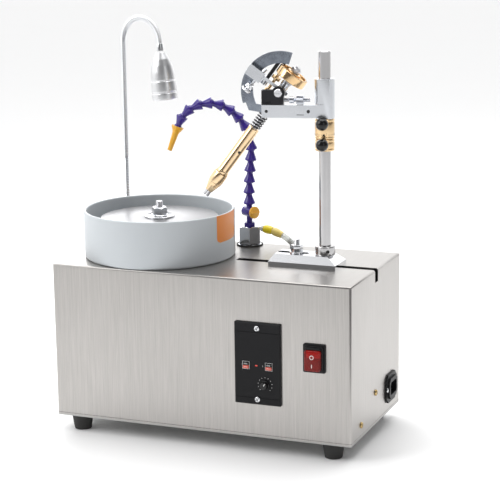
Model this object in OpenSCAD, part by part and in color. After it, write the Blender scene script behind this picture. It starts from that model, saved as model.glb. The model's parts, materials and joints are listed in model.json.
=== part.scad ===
// Bench faceting machine: steel case with a motor, lap and drip pan, a mast with
// a tilting quill, a ball-and-socket coolant line and a gooseneck lamp.
// Millimetres, +Z up. Built about the middle of the case, then moved so that the
// origin is the centre of the whole machine's footprint, at the height of the floor.

/* [Case] */
// Width of the case
case_w = 400; // [380:5:440]
// Depth of the case
case_d = 200; // [190:5:220]
// Height of the case above its feet
case_h = 200; // [190:5:220]
// Height of the rubber feet
foot_h = 20; // [14:1:26]
// Thickness of the sheet steel
sheet_t = 1.5; // [1.2:0.1:2]
// Outside radius of the bends
bend_r = 3; // [2.5:0.5:5]

/* [Pan and lap] */
// Outside radius of the drip pan
pan_r = 97.5; // [94:0.5:98]
// Height of the drip pan
pan_h = 61; // [55:1:66]
// Wall of the drip pan
pan_t = 3.5; // [2.5:0.5:4]
// Radius of the lap disc
lap_r = 76; // [70:1:80]
// Height of the lap's face above the case
lap_z = 49.5; // [45:0.5:52]

/* [Mast and arm] */
// Diameter of the mast
mast_dia = 15; // [14:0.5:16]
// Height of the mast's top above the case
mast_h = 269; // [265:1:290]
// Distance from the mast to the tilt axis
tilt_reach = 55; // [53:0.5:57]
// Height of the tilt axis above the case
tilt_z = 218.7; // [215:0.1:222]
// How far the arm is swung to the front
arm_swing = 12; // [5:1:20]
// Slope of the quill below horizontal
quill_angle = 53.5; // [45:0.5:60]

/* [Coolant line] */
// Distance between two ball centres
bead_pitch = 14.5; // [14:0.1:15]
// Direction of the line's arch, seen from above
line_heading = 205; // [195:1:215]

/* [Lamp] */
// Direction of the lamp's arch, seen from above
lamp_heading = -18; // [-30:1:0]
// Height where the gooseneck starts to arch, above the case
neck_h = 265; // [250:1:280]
// Radius of the gooseneck's arch
neck_bend_r = 33; // [28:1:36]

/* [Hidden] */
$fn = 64;
gap = 0.3;            // space between parts that pass each other
fit = 0.05;           // radial clearance of a running fit
screw_head_h = 2.2;
inlet_proud = 5;
front_proud = 12;     // how far the knob and the boot stand out at the front
rear_proud = 20;      // how far the water inlet stands out at the back

top_z = foot_h + case_h;
inner_top = top_z - sheet_t;
centre_x = (inlet_proud - screw_head_h) / 2;
centre_y = (rear_proud - front_proud) / 2;

foot_x = case_w / 2 - 28;
foot_y = case_d / 2 - 16;
flange_h = 24;

spindle_x = -93;
spindle_y = -3;
spindle_r = 8;
motor_r = 45;
motor_top = inner_top;
motor_h = 104;

slot_w = 12;
slot_x0 = 14;
slot_down = 16;

panel_x = 80.5;
panel_z = 115;
panel_w = 60.7;
panel_h = 104;
panel_proud = 4;
board_y = -case_d / 2 + 12;
knob_x = 90.5;
knob_z = 89.5;
button_z = 112.7;
button_w = 7.4;
button_h = 8;
run_x = 65.5;
fwd_x = 95.5;

switch_x = 153.7;
switch_z = 128.5;
switch_w = 28.6;
switch_h = 35.9;
switch_rim = 2.5;
rocker_rest = 7;

inlet_y = 58.6;
inlet_z = 52;
inlet_w = 43.7;
inlet_h = 37.2;

plate_x0 = 64;
plate_x1 = 153;
plate_y = 21.5;
plate_h = 14;
clamp_x = 95;
mast_x = 132.5;
mast_r = mast_dia / 2;
collar_r = 12.2;
lower_z = 366;
upper_z = 381;
arm_z0 = 408;
arm_z1 = 424;
sleeve_top = 455;
arm_back = 7;         // the arm's back and front faces, measured forward of the mast
arm_front = 17;
arm_end = 76;
quill_back = -14;     // the plane that the quill tilts in, behind the arm
pivot_z = top_z + tilt_z;
ring_y = -4.4;        // the back face of the quadrant plate
ring_t = 3;
ring_r0 = 34.5;
ring_r1 = 49.5;
pivot_r = 3;
shaft_r = 4;
wheel_r = 20;
plunger_x = 14.5;

stand_x = -3;
stand_y = 85;
stand_top = 246;
line_z = 277;         // the first ball's centre
bends = [0, -2, -2, 0, 0, 10, 16, 13, 11, 13, 18, 19, 19, 20, 20];
column_beads = 6;
nozzle_turn = 160;
stop_turn = 36;       // where the stop sits on the quadrant, above horizontal
ball_r = 5.4;
hose_r = 4;
hose_bend_r = 62;
hose_z = 243;
hose_x = 14;
union_x = hose_x + hose_bend_r * sin(45);
union_z = hose_z - hose_bend_r * (1 - cos(45));

lamp_x = -179;
lamp_y = 80;
neck_r = 4;
neck_split = 330;     // height where the lower and upper gooseneck meet
neck_top = top_z + neck_h;
lamp_tilt = 6;
head_r = 16.8;
head_l = 62;
head_drop = 14;       // straight stretch between the arch and the head

knob_turn = 89;       // the ball knobs point to the front
function knob_height(z0, z1) = z1 - z0 < 16 ? z0 + 10 : z0 + 20.5;
spring_turns = 6;
spring_steps = 20;
wire_r = 0.8;
valve_z = 264.6;
side_screws = [for (y = [-61, 61]) [-1, y, 36.6], [1, -61, 36.6], [1, -3, 61.5]];
rear_screws = [for (x = [-150, 150]) [x, 36.6]];

// Places: each sub-part is drawn about the case's middle or in one of these frames.

module machine() translate([-centre_x, -centre_y, 0]) children();

module at_spindle() machine() translate([spindle_x, spindle_y, 0]) children();

// x runs along the arm away from the mast, y to the front, z up
module on_arm() machine() translate([mast_x, 0, 0]) rotate([0, 0, 180 + arm_swing]) children();

// the tilt axis, with y along it
module on_pivot() on_arm() translate([tilt_reach, 0, pivot_z]) children();

// z runs up the quill, from the stone to the index wheel
module on_quill() on_pivot() translate([0, quill_back, 0])
    rotate([0, quill_angle - 90, 0]) children();

module at_stand() machine() translate([stand_x, stand_y, 0]) children();

// x is the direction of the arch
module at_lamp() machine() translate([lamp_x, lamp_y, 0]) rotate([0, 0, lamp_heading])
    children();

module at_union() machine() translate([union_x, stand_y, union_z]) children();

// the front of the case, with x to the right, y up and z out of the face
module on_front(x, z) machine() translate([x, -case_d / 2, z]) rotate([90, 0, 0]) children();

// Shared shapes

module rounded(w, h, r) {
    square([w - 2 * r, h], center = true);
    square([w, h - 2 * r], center = true);
    for (x = [-1, 1], y = [-1, 1])
        translate([x * (w / 2 - r), y * (h / 2 - r)]) circle(r);
}

module chamfered(w, h, c) polygon([
    [-w / 2 + c, -h / 2], [w / 2 - c, -h / 2], [w / 2, -h / 2 + c], [w / 2, h / 2 - c],
    [w / 2 - c, h / 2], [-w / 2 + c, h / 2], [-w / 2, h / 2 - c], [-w / 2, -h / 2 + c]]);

module bent_box(w, d, z0, z1, r) intersection() {
    translate([0, 0, z0]) linear_extrude(z1 - z0) rounded(w, d, r);
    translate([0, d / 2, 0]) rotate([90, 0, 0]) linear_extrude(d) arch_face(w, z0, z1, r);
    translate([-w / 2, 0, 0]) rotate([90, 0, 90]) linear_extrude(w) arch_face(d, z0, z1, r);
}

module arch_face(w, z0, z1, r) {
    translate([-w / 2, z0]) square([w, z1 - z0 - r]);
    translate([-w / 2 + r, z0]) square([w - 2 * r, z1 - z0]);
    for (x = [-1, 1]) translate([x * (w / 2 - r), z1 - r]) circle(r);
}

module tube(r_out, r_in, h) difference() {
    cylinder(h = h, r = r_out);
    translate([0, 0, -1]) cylinder(h = h + 2, r = r_in);
}

// a hexagon nut or bar with its two ends bevelled
module hex_bar(flats, h, bore) {
    corner = flats / sqrt(3);
    difference() {
        intersection() {
            cylinder(h = h, r = corner, $fn = 6);
            rotate_extrude() polygon([[0, 0], [flats / 2 - 0.3, 0], [corner + 0.3, 1.6],
                [corner + 0.3, h - 1.6], [flats / 2 - 0.3, h], [0, h]]);
        }
        translate([0, 0, -1]) cylinder(h = h + 2, r = bore);
    }
}

// a pan-head screw: the head stands on z = 0 and the shank goes down
module screw(head, shank, length) {
    rotate_extrude() polygon([[0, -length], [shank, -length], [shank, 0], [head, 0],
        [head, screw_head_h * 0.5], [head * 0.7, screw_head_h], [0, screw_head_h]]);
}

// Case

module case_shell() color([0.74, 0.73, 0.71]) machine() difference() {
    bent_box(case_w, case_d, foot_h + sheet_t, top_z, bend_r);
    bent_box(case_w - 2 * sheet_t, case_d - 2 * sheet_t, foot_h - 1, inner_top,
        bend_r - sheet_t);
    // slot for the carriage clamp, over the edge and down the right side
    translate([slot_x0, -slot_w / 2, top_z - slot_down]) cube([case_w, slot_w, 30]);
    translate([spindle_x, spindle_y, top_z - 10]) cylinder(h = 20, r = 12);
    translate([stand_x, stand_y, top_z - 10]) cylinder(h = 20, r = 5);
    translate([union_x + 4, stand_y, top_z - 10]) cylinder(h = 20, r = hose_r + 1);
    translate([lamp_x, lamp_y, top_z - 10]) cylinder(h = 20, r = 5);
    translate([panel_x, -case_d / 2, panel_z]) cube([52, 10, 90], center = true);
    translate([switch_x, -case_d / 2, switch_z]) cube([22, 10, 29], center = true);
    translate([case_w / 2, inlet_y, inlet_z]) cube([10, 28, 21], center = true);
    translate([union_x + 4, case_d / 2 - 5, 180]) rotate([-90, 0, 0])
        cylinder(h = 10, r = hose_r + 1);
    for (s = side_screws) translate([s[0] * case_w / 2 - 5, s[1], s[2]])
        rotate([0, 90, 0]) cylinder(h = 10, r = 2);
    for (s = rear_screws) translate([s[0], case_d / 2 - 5, s[1]])
        rotate([-90, 0, 0]) cylinder(h = 10, r = 2);
}

module bottom_plate() color([0.62, 0.62, 0.61]) machine() difference() {
    union() {
        translate([0, 0, foot_h]) linear_extrude(sheet_t) rounded(case_w, case_d, bend_r);
        translate([0, 0, foot_h + sheet_t]) linear_extrude(flange_h) difference() {
            rounded(case_w - 2 * sheet_t, case_d - 2 * sheet_t, bend_r - sheet_t);
            square([case_w - 4 * sheet_t, case_d - 4 * sheet_t], center = true);
        }
    }
    for (x = [-1, 1], y = [-1, 1]) translate([x * foot_x, y * foot_y, foot_h - 1])
        cylinder(h = 5, r = 2.25);
    for (i = [0 : 9]) translate([-140 + 12 * i, 0, foot_h]) cube([3.2, 70, 8], center = true);
    for (s = side_screws) if (s[2] < foot_h + flange_h)
        translate([s[0] * case_w / 2 - 8, s[1], s[2]]) rotate([0, 90, 0])
            cylinder(h = 16, r = 2);
    for (s = rear_screws) translate([s[0], case_d / 2 - 8, s[1]])
        rotate([-90, 0, 0]) cylinder(h = 16, r = 2);
    translate([case_w / 2, inlet_y, inlet_z]) cube([10, 28, 21], center = true);
}

module rubber_feet() color([0.06, 0.06, 0.06]) machine()
    for (x = [-1, 1], y = [-1, 1]) translate([x * foot_x, y * foot_y, 0]) rotate_extrude()
        polygon([[5.5, 0], [10.4, 0], [11, 0.8], [14, foot_h], [2.25, foot_h], [2.25, 8],
            [5.5, 8]]);

module case_screws() color([0.78, 0.66, 0.38]) machine() {
    for (x = [-1, 1], y = [-1, 1]) translate([x * foot_x, y * foot_y, 8])
        rotate([180, 0, 0]) screw(4.6, 2, foot_h - 8 + sheet_t + 6);
    for (s = side_screws) translate([s[0] * case_w / 2, s[1], s[2]])
        rotate([0, s[0] * 90, 0]) screw(4, 1.95, 8);
    for (s = rear_screws) translate([s[0], case_d / 2, s[1]])
        rotate([-90, 0, 0]) screw(4, 1.95, 8);
    for (z = [-1, 1]) translate([panel_x, -case_d / 2 - panel_proud, panel_z + z * 45])
        rotate([90, 0, 0]) screw(3.6, 1.4, panel_proud);
}

// Motor, hung under the case's top

module motor_housing() color([0.3, 0.31, 0.33]) at_spindle()
    translate([0, 0, motor_top - motor_h]) difference() {
        union() {
            cylinder(h = motor_h - 8, r = motor_r);
            translate([0, 0, motor_h - 8]) linear_extrude(8) rounded(104, 104, 8);
        }
        translate([0, 0, 12]) cylinder(h = motor_h - 24, r = motor_r - 3.5);
        translate([0, 0, 2]) cylinder(h = 20, r = 13);
        translate([0, 0, motor_h - 20]) cylinder(h = 18, r = 13);
        translate([0, 0, -1]) cylinder(h = motor_h + 2, r = spindle_r + 1);
    }

module stator() color([0.55, 0.36, 0.2]) at_spindle() translate([0, 0, motor_top - 80])
    tube(motor_r - 3.5, 26, 56);

module rotor() color([0.5, 0.5, 0.52]) at_spindle() translate([0, 0, motor_top - 78])
    tube(25.4, spindle_r, 52);

module bearings() color([0.75, 0.76, 0.78]) at_spindle()
    for (z = [motor_top - motor_h + 2, motor_top - 12])
        translate([0, 0, z]) tube(13, spindle_r + fit, 10);

// Controls

module inverter_box() color([0.2, 0.22, 0.25]) machine()
    translate([70, 10, foot_h + sheet_t]) linear_extrude(70) rounded(110, 80, 3);

module control_board() color([0.1, 0.32, 0.2]) machine() {
    translate([panel_x - 24.5, board_y, panel_z - 43.5]) cube([49, 1.6, 87]);
    translate([knob_x, board_y - 9, knob_z]) rotate([-90, 0, 0]) tube(8, 3.2, 9);
}

module panel_bezel() color([0.05, 0.05, 0.055]) on_front(panel_x, panel_z) difference() {
    union() {
        linear_extrude(panel_proud - 1.5) chamfered(panel_w, panel_h, 1);
        translate([0, 0, panel_proud - 1.5]) intersection() {
            linear_extrude(1.5) chamfered(panel_w, panel_h, 1);
            bevel_block(panel_w, panel_h, 1.5);
        }
        translate([0, 0, -28]) linear_extrude(28) square([52, 90], center = true);
    }
    translate([0, 0, -29]) linear_extrude(29) square([49, 87], center = true);
    // grooves above and below the working area
    for (y = [-43, 40]) translate([0, y, panel_proud]) cube([panel_w, 0.8, 1.2], center = true);
    translate([knob_x - panel_x, knob_z - panel_z, -1]) cylinder(h = 9, r = 3.2);
    for (x = [run_x, fwd_x]) translate([x - panel_x, button_z - panel_z, 0])
        cube([button_w + 2 * gap, button_h + 2 * gap, 20], center = true);
    for (y = [-45, 45]) translate([0, y, -1]) cylinder(h = 9, r = 1.5);
}

module bevel_block(w, h, t) intersection() {
    rotate([90, 0, 0]) linear_extrude(h + 2, center = true)
        polygon([[-w / 2, 0], [w / 2, 0], [w / 2 - t, t], [-w / 2 + t, t]]);
    rotate([90, 0, 90]) linear_extrude(w + 2, center = true)
        polygon([[-h / 2, 0], [h / 2, 0], [h / 2 - t, t], [-h / 2 + t, t]]);
}

module speed_knob() color([0.04, 0.04, 0.04]) on_front(knob_x, knob_z) {
    translate([0, 0, panel_proud + gap]) rotate_extrude()
        polygon([[0, 0], [5.8, 0], [5.8, 1.4], [5.2, 2], [4.9, front_proud - panel_proud - 1],
            [4.3, front_proud - panel_proud - gap], [0, front_proud - panel_proud - gap]]);
    translate([0, 0, -9]) cylinder(h = 13.5, r = 3);
}

module push_button(x) on_front(x, button_z) {
    translate([0, 0, -4]) linear_extrude(panel_proud + 5.2) rounded(button_w, button_h, 0.8);
    translate([0, 0, -10.5]) cylinder(h = 7, r = 2);
}

module run_button() color([0.85, 0.35, 0.3]) push_button(run_x);

module fwd_button() color([0.85, 0.35, 0.3]) push_button(fwd_x);

module switch_frame() color([0.04, 0.04, 0.04]) on_front(switch_x, switch_z) difference() {
    union() {
        linear_extrude(switch_rim) rounded(switch_w, switch_h, 2);
        translate([0, 0, -26]) linear_extrude(26) square([22, 29], center = true);
    }
    translate([0, 0, -10]) linear_extrude(20) square([19, 25.4], center = true);
}

// pivots about the x axis at z = -2
module switch_rocker() color([0.75, 0.1, 0.07]) on_front(switch_x, switch_z)
    translate([0, 0, -2]) rotate([rocker_rest, 0, 0]) rotate([0, 90, 0]) {
        linear_extrude(16, center = true) polygon([[4, -3], [4, 3], [-6, 10.5], [-8, 10.5],
            [-6.6, 0], [-8, -10.5], [-6, -10.5]]);
        cylinder(h = 18.8, r = 1.2, center = true);
    }

module switch_boot() color([0.6, 0.16, 0.1, 0.7]) on_front(switch_x, switch_z) difference() {
    translate([0, 0, switch_rim]) union() {
        linear_extrude(1.5) rounded(25, 32.5, 3);
        linear_extrude(front_proud - switch_rim) rounded(21.5, 29, 3.5);
    }
    translate([0, 0, switch_rim - 1]) linear_extrude(front_proud - switch_rim)
        rounded(19.4, 27, 2.5);
}

module inlet_body() color([0.05, 0.05, 0.05]) machine()
    translate([case_w / 2, inlet_y, inlet_z]) rotate([90, 0, 90]) {
        difference() {
            union() {
                linear_extrude(2.5) chamfered(inlet_w, inlet_h, 8);
                translate([0, 0, 2.5]) linear_extrude(inlet_proud - 2.5)
                    chamfered(33, 27, 5);
                translate([0, 0, -22]) linear_extrude(22) square([28, 21], center = true);
            }
            translate([0, 0, -17]) linear_extrude(30) chamfered(24.6, 16.6, 2);
            for (x = [-1, 1]) translate([x * 19, 0, -1]) cylinder(h = 9, r = 1.6);
        }
        for (p = [[-7, -2], [7, -2], [0, 2]]) translate([p[0] - 1, p[1] - 2.5, -17])
            cube([2, 5, 15]);
    }

// Pan, spindle and lap

module drip_pan() color([0.76, 0.78, 0.79]) at_spindle() translate([0, 0, top_z]) {
    difference() {
        rotate_extrude() polygon([[12.2, 0], [pan_r - 2, 0], [pan_r, 2], [pan_r, pan_h - 1],
            [pan_r - 1, pan_h], [pan_r - pan_t + 1, pan_h], [pan_r - pan_t, pan_h - 1],
            [pan_r - pan_t, pan_t + 3], [pan_r - pan_t - 3, pan_t], [16, pan_t], [16, 22],
            [12.2, 22]]);
        rotate([-90, 0, 0]) translate([0, -9, pan_r - 12]) cylinder(h = 20, r = 4);
    }
    // drain spout at the back
    rotate([-90, 0, 0]) translate([0, -9, pan_r - 2]) difference() {
        rotate_extrude() polygon([[4, 0], [6.5, 0], [6.5, 6], [5.5, 6], [5.5, 9], [6, 9.2],
            [5.2, 15], [4, 15]]);
        translate([0, 0, -1]) cylinder(h = 20, r = 4);
    }
}

module spindle() color([0.7, 0.71, 0.73]) at_spindle() rotate_extrude()
    polygon([[0, motor_top - motor_h + 2], [spindle_r, motor_top - motor_h + 2],
        [spindle_r, top_z + lap_z - 9.5], [5, top_z + lap_z - 9.5], [5, top_z + lap_z + 12.5],
        [4.6, top_z + lap_z + 12.7], [4.6, top_z + lap_z + 19.7], [3.8, top_z + lap_z + 20.5],
        [0, top_z + lap_z + 20.5]]);

module lap_platen() color([0.66, 0.67, 0.68]) at_spindle()
    translate([0, 0, top_z + lap_z - 9.5]) difference() {
        rotate_extrude() polygon([[5, 0], [22, 0], [22, 2], [lap_r - 3, 2], [lap_r - 2, 3],
            [lap_r - 2, 8], [5, 8]]);
        translate([0, 0, -1]) cylinder(h = 12, r = 5);
    }

module lap_disc() color([0.6, 0.6, 0.6]) at_spindle() translate([0, 0, top_z + lap_z - 1.5])
    tube(lap_r, 5, 1.5);

module spindle_washer() color([0.85, 0.86, 0.87]) at_spindle()
    translate([0, 0, top_z + lap_z]) difference() {
        rotate_extrude() polygon([[5, 0], [19.5, 0], [19.5, 1.5], [18.8, 2], [12, 2.4],
            [11, 3.2], [5, 3.2]]);
        translate([0, 0, -1]) cylinder(h = 6, r = 5);
    }

module spindle_nut() color([0.85, 0.86, 0.87]) at_spindle()
    translate([0, 0, top_z + lap_z + 3.2]) rotate([0, 0, 12]) hex_bar(17.5, 9.3, 5);

// Carriage and mast

module carriage_plate() color([0.85, 0.86, 0.88]) machine() difference() {
    intersection() {
        translate([0, plate_y, top_z]) rotate([90, 0, 0]) linear_extrude(2 * plate_y)
            polygon([[plate_x0, 0], [plate_x1, 0], [plate_x1, 5], [plate_x1 - 12, plate_h],
                [plate_x0 + 6, plate_h], [plate_x0, 5]]);
        translate([plate_x0, 0, top_z]) rotate([90, 0, 90]) linear_extrude(plate_x1 - plate_x0)
            polygon([[-plate_y, 0], [plate_y, 0], [plate_y, 5], [plate_y - 7, plate_h],
                [7 - plate_y, plate_h], [-plate_y, 5]]);
    }
    translate([0, 0, top_z - 1]) linear_extrude(plate_h + 2) {
        for (x = [74.5, 106.5]) translate([x, 0]) circle(4.5);
        translate([74.5, -4.5]) square([32, 9]);
    }
    translate([mast_x, 0, top_z - 1]) cylinder(h = plate_h + 2, r = mast_r);
}

module clamp_bolt() color([0.8, 0.81, 0.83]) machine() translate([clamp_x, 0, 0]) {
    translate([-11, -11, inner_top - 5 - gap]) cube([22, 22, 5]);
    translate([0, 0, inner_top - 1]) cylinder(h = top_z + 32 - inner_top + 1, r = 4);
}

module clamp_nut() color([0.85, 0.86, 0.88]) machine()
    translate([clamp_x, 0, top_z + plate_h]) difference() {
        union() {
            cylinder(h = 1.8, r = 9.5);
            rotate([0, 0, 20]) cylinder(h = 10.3, r = 7.85, $fn = 6);
        }
        translate([0, 0, -1]) cylinder(h = 13, r = 4 + fit);
    }

module mast() color([0.8, 0.81, 0.83]) machine() translate([mast_x, 0, 0]) rotate_extrude()
    polygon([[0, top_z], [mast_r, top_z], [mast_r, top_z + plate_h], [12.2, top_z + plate_h],
        [12.85, top_z + plate_h + 1], [12.85, top_z + 25], [12.2, top_z + 26],
        [mast_r, top_z + 26], [mast_r, sleeve_top + 1], [mast_r - 0.5, sleeve_top + 1],
        [mast_r - 0.5, sleeve_top + 2], [mast_r, sleeve_top + 2], [mast_r, top_z + mast_h - 1],
        [mast_r - 1, top_z + mast_h],
        [0, top_z + mast_h]]);

module brass_collar(z0, z1) on_arm() difference() {
    translate([0, 0, z0]) rotate_extrude() polygon([[mast_r + fit, 0], [collar_r - 0.8, 0],
        [collar_r, 0.8], [collar_r, z1 - z0 - 0.8], [collar_r - 0.8, z1 - z0],
        [mast_r + fit, z1 - z0]]);
    rotate([0, 0, knob_turn]) translate([collar_r - 6, 0, knob_height(z0, z1)])
        rotate([0, 90, 0]) cylinder(h = 20, r = 2.5);
}

module ball_knob(z0, z1) on_arm() rotate([0, 0, knob_turn])
    translate([0, 0, knob_height(z0, z1)]) rotate([0, 90, 0]) {
        translate([0, 0, collar_r - 4]) cylinder(h = 8, r = 2.5 - fit);
        translate([0, 0, collar_r + 2]) cylinder(h = 4, r = 3.6);
        translate([0, 0, collar_r + 11]) sphere(7.8);
    }

module lower_collar() color([0.82, 0.62, 0.33]) brass_collar(lower_z, upper_z - gap);

module upper_collar() color([0.82, 0.62, 0.33]) brass_collar(upper_z, arm_z0 - 2 - gap);

module lower_knob() color([0.04, 0.04, 0.04]) ball_knob(lower_z, upper_z - gap);

module upper_knob() color([0.04, 0.04, 0.04]) ball_knob(upper_z, arm_z0 - 2 - gap);

// Arm and its head

module arm() color([0.82, 0.84, 0.87]) on_arm() difference() {
    union() {
        intersection() {
            translate([0, 0, arm_z0 - 2]) cylinder(h = sleeve_top - arm_z0 + 2, r = 12.35);
            translate([-20, -20, arm_z0 - 2]) cube([40, 30, 60]);
        }
        translate([0, 0, arm_z0]) linear_extrude(arm_z1 - arm_z0) polygon([[0, 10], [0, -8],
            [12, arm_back], [arm_end, arm_back], [arm_end, arm_front], [22, arm_front]]);
    }
    cylinder(h = 500, r = mast_r + fit);
}

// a round rod with a knurled nut that runs along the top of the arm
module adjust_screw() color([0.7, 0.74, 0.82]) on_arm()
    translate([16, 12, arm_z1 + 5.5 + gap]) rotate([0, 90, 0]) {
        cylinder(h = 33 - fit, r = 2.4);
        translate([0, 0, 8]) cylinder(h = 9, r = 5.5);
        translate([0, 0, 20]) cylinder(h = 6, r = 4);
    }

module pivot_block() color([0.13, 0.13, 0.15]) on_arm() difference() {
    translate([0, arm_front, 0]) rotate([90, 0, 0]) linear_extrude(arm_front - arm_back)
        union() {
            polygon([[49, arm_z1], [arm_end, arm_z1], [arm_end, 442], [60, 442],
                [49, 434]]);
            translate([tilt_reach, pivot_z]) circle(8);
        }
    translate([tilt_reach, 0, pivot_z]) rotate([-90, 0, 0]) cylinder(h = 30, r = pivot_r + fit);
    translate([67, arm_front, 427]) cube([7, 3, 2.4], center = true);
}

module pivot_screw() color([0.85, 0.86, 0.88]) on_pivot() translate([0, arm_front + gap, 0])
    rotate([-90, 0, 0]) difference() {
        rotate_extrude() polygon([[0, 0], [5.2, 0], [5.2, 2.4], [4.4, 3.4], [0, 3.4]]);
        translate([0, 0, 3.4]) cube([8, 1, 2], center = true);
    }

module sector(r0, r1, a0, a1) intersection() {
    difference() {
        circle(r1, $fn = 128);
        circle(r0, $fn = 128);
    }
    polygon(concat([[0, 0]], [for (i = [0 : 8]) let (a = a0 + (a1 - a0) * i / 8)
        80 * [cos(a), sin(a)]]));
}

module quadrant() color([0.62, 0.66, 0.75]) on_pivot() {
    translate([0, ring_y + ring_t, 0]) rotate([90, 0, 0]) linear_extrude(ring_t) {
        sector(ring_r0, ring_r1, -18, 108);
        // foot below the scale, reaching back behind the arm
        polygon([[33, -10], [44.5, -12], [40, -24], [8, -29], [8, -17], [24, -17], [31, -16]]);
    }
    translate([8, ring_y + ring_t, -29]) cube([13, arm_back - ring_y - ring_t, 12]);
}

// a clamp that hooks round the quadrant's inner edge, with its stop screw
module on_stop() on_pivot() rotate([0, -stop_turn, 0]) children();

module angle_stop() color([0.75, 0.75, 0.78]) on_stop() difference() {
    union() {
        translate([27, ring_y + ring_t + gap, -6]) cube([21.4, 12.1, 14]);
        translate([32.2, ring_y - 2, -6]) cube([16.2, 6, 14]);
    }
    translate([0, ring_y + ring_t + fit, 0]) rotate([90, 0, 0])
        linear_extrude(ring_t + 2 * fit) sector(ring_r0 - gap, 60, -60, 60);
    stop_axis() cylinder(h = 60, r = 2 + fit, center = true);
}

module stop_axis() translate([31.5, 6.5, 0]) rotate([0, 171, 0]) children();

module stop_screw() color([0.8, 0.8, 0.8]) on_stop() stop_axis() {
    translate([0, 0, -14]) cylinder(h = 30, r = 2);
    translate([0, 0, 14]) cylinder(h = 5.5, r = 5);
    translate([0, 0, 21]) cylinder(h = 3, r = 6.5);
    translate([0, 0, 19.5]) cylinder(h = 1.5, r = 3);
}

module swing_plate() color([0.7, 0.73, 0.8]) {
    on_quill() difference() {
        union() {
            translate([-9, -9, -1.5]) cube([39, 18, 4]);
            translate([0, 0, -9]) cylinder(h = 20, r = 7);
            translate([24, 0, -8]) cylinder(h = 10.5, r = 5);
        }
        translate([0, 0, -20]) cylinder(h = 60, r = shaft_r + fit);
        translate([plunger_x, 0, -20]) cylinder(h = 60, r = 2 + fit);
    }
    // trunnion of the tilt axis, running in the pivot block
    on_pivot() translate([0, quill_back + 6, 0]) rotate([-90, 0, 0])
        cylinder(h = arm_front - quill_back - 6 + gap, r = pivot_r);
}

module index_plunger() color([0.82, 0.62, 0.33]) on_quill() translate([plunger_x, 0, 0]) {
    translate([0, 0, -14]) cylinder(h = 29, r = 2);
    translate([0, 0, 5.6]) cylinder(h = 4.5, r = 5.6);
    translate([0, 0, -14]) cylinder(h = 5, r = 4);
}

// a pawl on top of the swing plate that reaches over the index wheel's rim
module index_lever() color([0.08, 0.08, 0.09]) on_quill() {
    translate([21, -3, 2.5]) cube([4.5, 6, 28]);
    translate([15, -3, 27.2]) cube([10.5, 6, 3.3]);
}

module quill_shaft() color([0.75, 0.76, 0.78]) on_quill() {
    difference() {
        union() {
            translate([0, 0, -146]) cylinder(h = 181, r = shaft_r);
            translate([0, 0, -166]) cylinder(h = 20, r = shaft_r + 0.3);
        }
        translate([0, 0, -167]) cylinder(h = 27, r = 3);
        for (a = [0, 90]) rotate([0, 0, a]) translate([0, 0, -160]) cube([12, 0.9, 16],
            center = true);
    }
    translate([0, 0, 27]) rotate([0, 0, 10]) hex_bar(11, 6, shaft_r);
    translate([0, 0, 11 + gap]) tube(6.5, shaft_r, 4.2 - gap);
}

// a helix of wire between the swing plate and the tube
function ring_at(i) = let (a = 360 * i / spring_steps, z = -58.1 + 47.9 * i / (spring_turns
    * spring_steps)) [for (k = [0 : 7]) let (b = 45 * k, r = 6.2 + wire_r * cos(b))
    [r * cos(a), r * sin(a), z + wire_r * sin(b)]];

module quill_spring() color([0.2, 0.2, 0.22]) on_quill() {
    n = spring_turns * spring_steps;
    polyhedron(points = [for (i = [0 : n]) each ring_at(i)],
        faces = concat([[for (k = [0 : 7]) k]], [[for (k = [0 : 7]) n * 8 + 7 - k]],
            [for (i = [0 : n - 1], k = [0 : 7]) let (m = (k + 1) % 8)
                [i * 8 + k, (i + 1) * 8 + k, (i + 1) * 8 + m, i * 8 + m]]));
}

module quill_tube() color([0.86, 0.68, 0.4]) on_quill() difference() {
    translate([0, 0, -130.5]) rotate_extrude() polygon([[shaft_r, 0], [8.2, 0], [8.2, 3],
        [7.2, 4], [7.2, 70.5], [6.4, 71.5], [shaft_r, 71.5]]);
    translate([0, 0, -95]) rotate([-90, 0, 28]) cylinder(h = 20, r = 1.9);
}

module collet_nut() color([0.84, 0.66, 0.4]) on_quill() difference() {
    intersection() {
        rotate_extrude() polygon([[0, -159], [4.9, -159], [9.25, -144], [9.25, -131.4],
            [8.6, -130.8], [0, -130.8]]);
        union() {
            translate([0, 0, -146]) cylinder(h = 20, r = 12);
            translate([0, 0, -160]) cylinder(h = 20, r = 9, $fn = 6);
        }
    }
    translate([0, 0, -170]) cylinder(h = 60, r = shaft_r + 0.3 + fit);
}

module index_wheel() color([0.84, 0.64, 0.34]) on_quill() difference() {
    rotate_extrude() polygon([[shaft_r, 15.5], [wheel_r - 0.6, 15.5], [wheel_r, 16.1],
        [wheel_r, 25.9], [wheel_r - 0.6, 26.5], [wheel_r - 3, 26.5], [wheel_r - 3, 23],
        [9, 23], [9, 27], [shaft_r, 27]]);
    for (a = [0 : 30 : 330]) rotate([0, 0, a]) translate([plunger_x, 0, 15])
        cylinder(h = 3, r = 2.2);
}

// Coolant supply

module hose_stand() color([0.86, 0.87, 0.89]) {
    at_stand() {
        translate([0, 0, top_z]) tube(15.8, 5, 1.5);
        translate([0, 0, top_z + 1.5]) rotate([0, 0, -8])
            hex_bar(27, stand_top - top_z - 1.5, 5);
    }
    machine() translate([stand_x + 11, stand_y, hose_z]) rotate([0, 90, 0]) tube(3, 1.8, 14);
}

module supply_hose() color([0.9, 0.92, 0.9, 0.6]) machine()
    translate([hose_x, stand_y, hose_z - hose_bend_r]) rotate([-90, 0, 0])
        rotate([0, 0, -90]) rotate_extrude(angle = 45) translate([hose_bend_r, 0])
            difference() {
                circle(hose_r);
                circle(3);
            }

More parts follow.
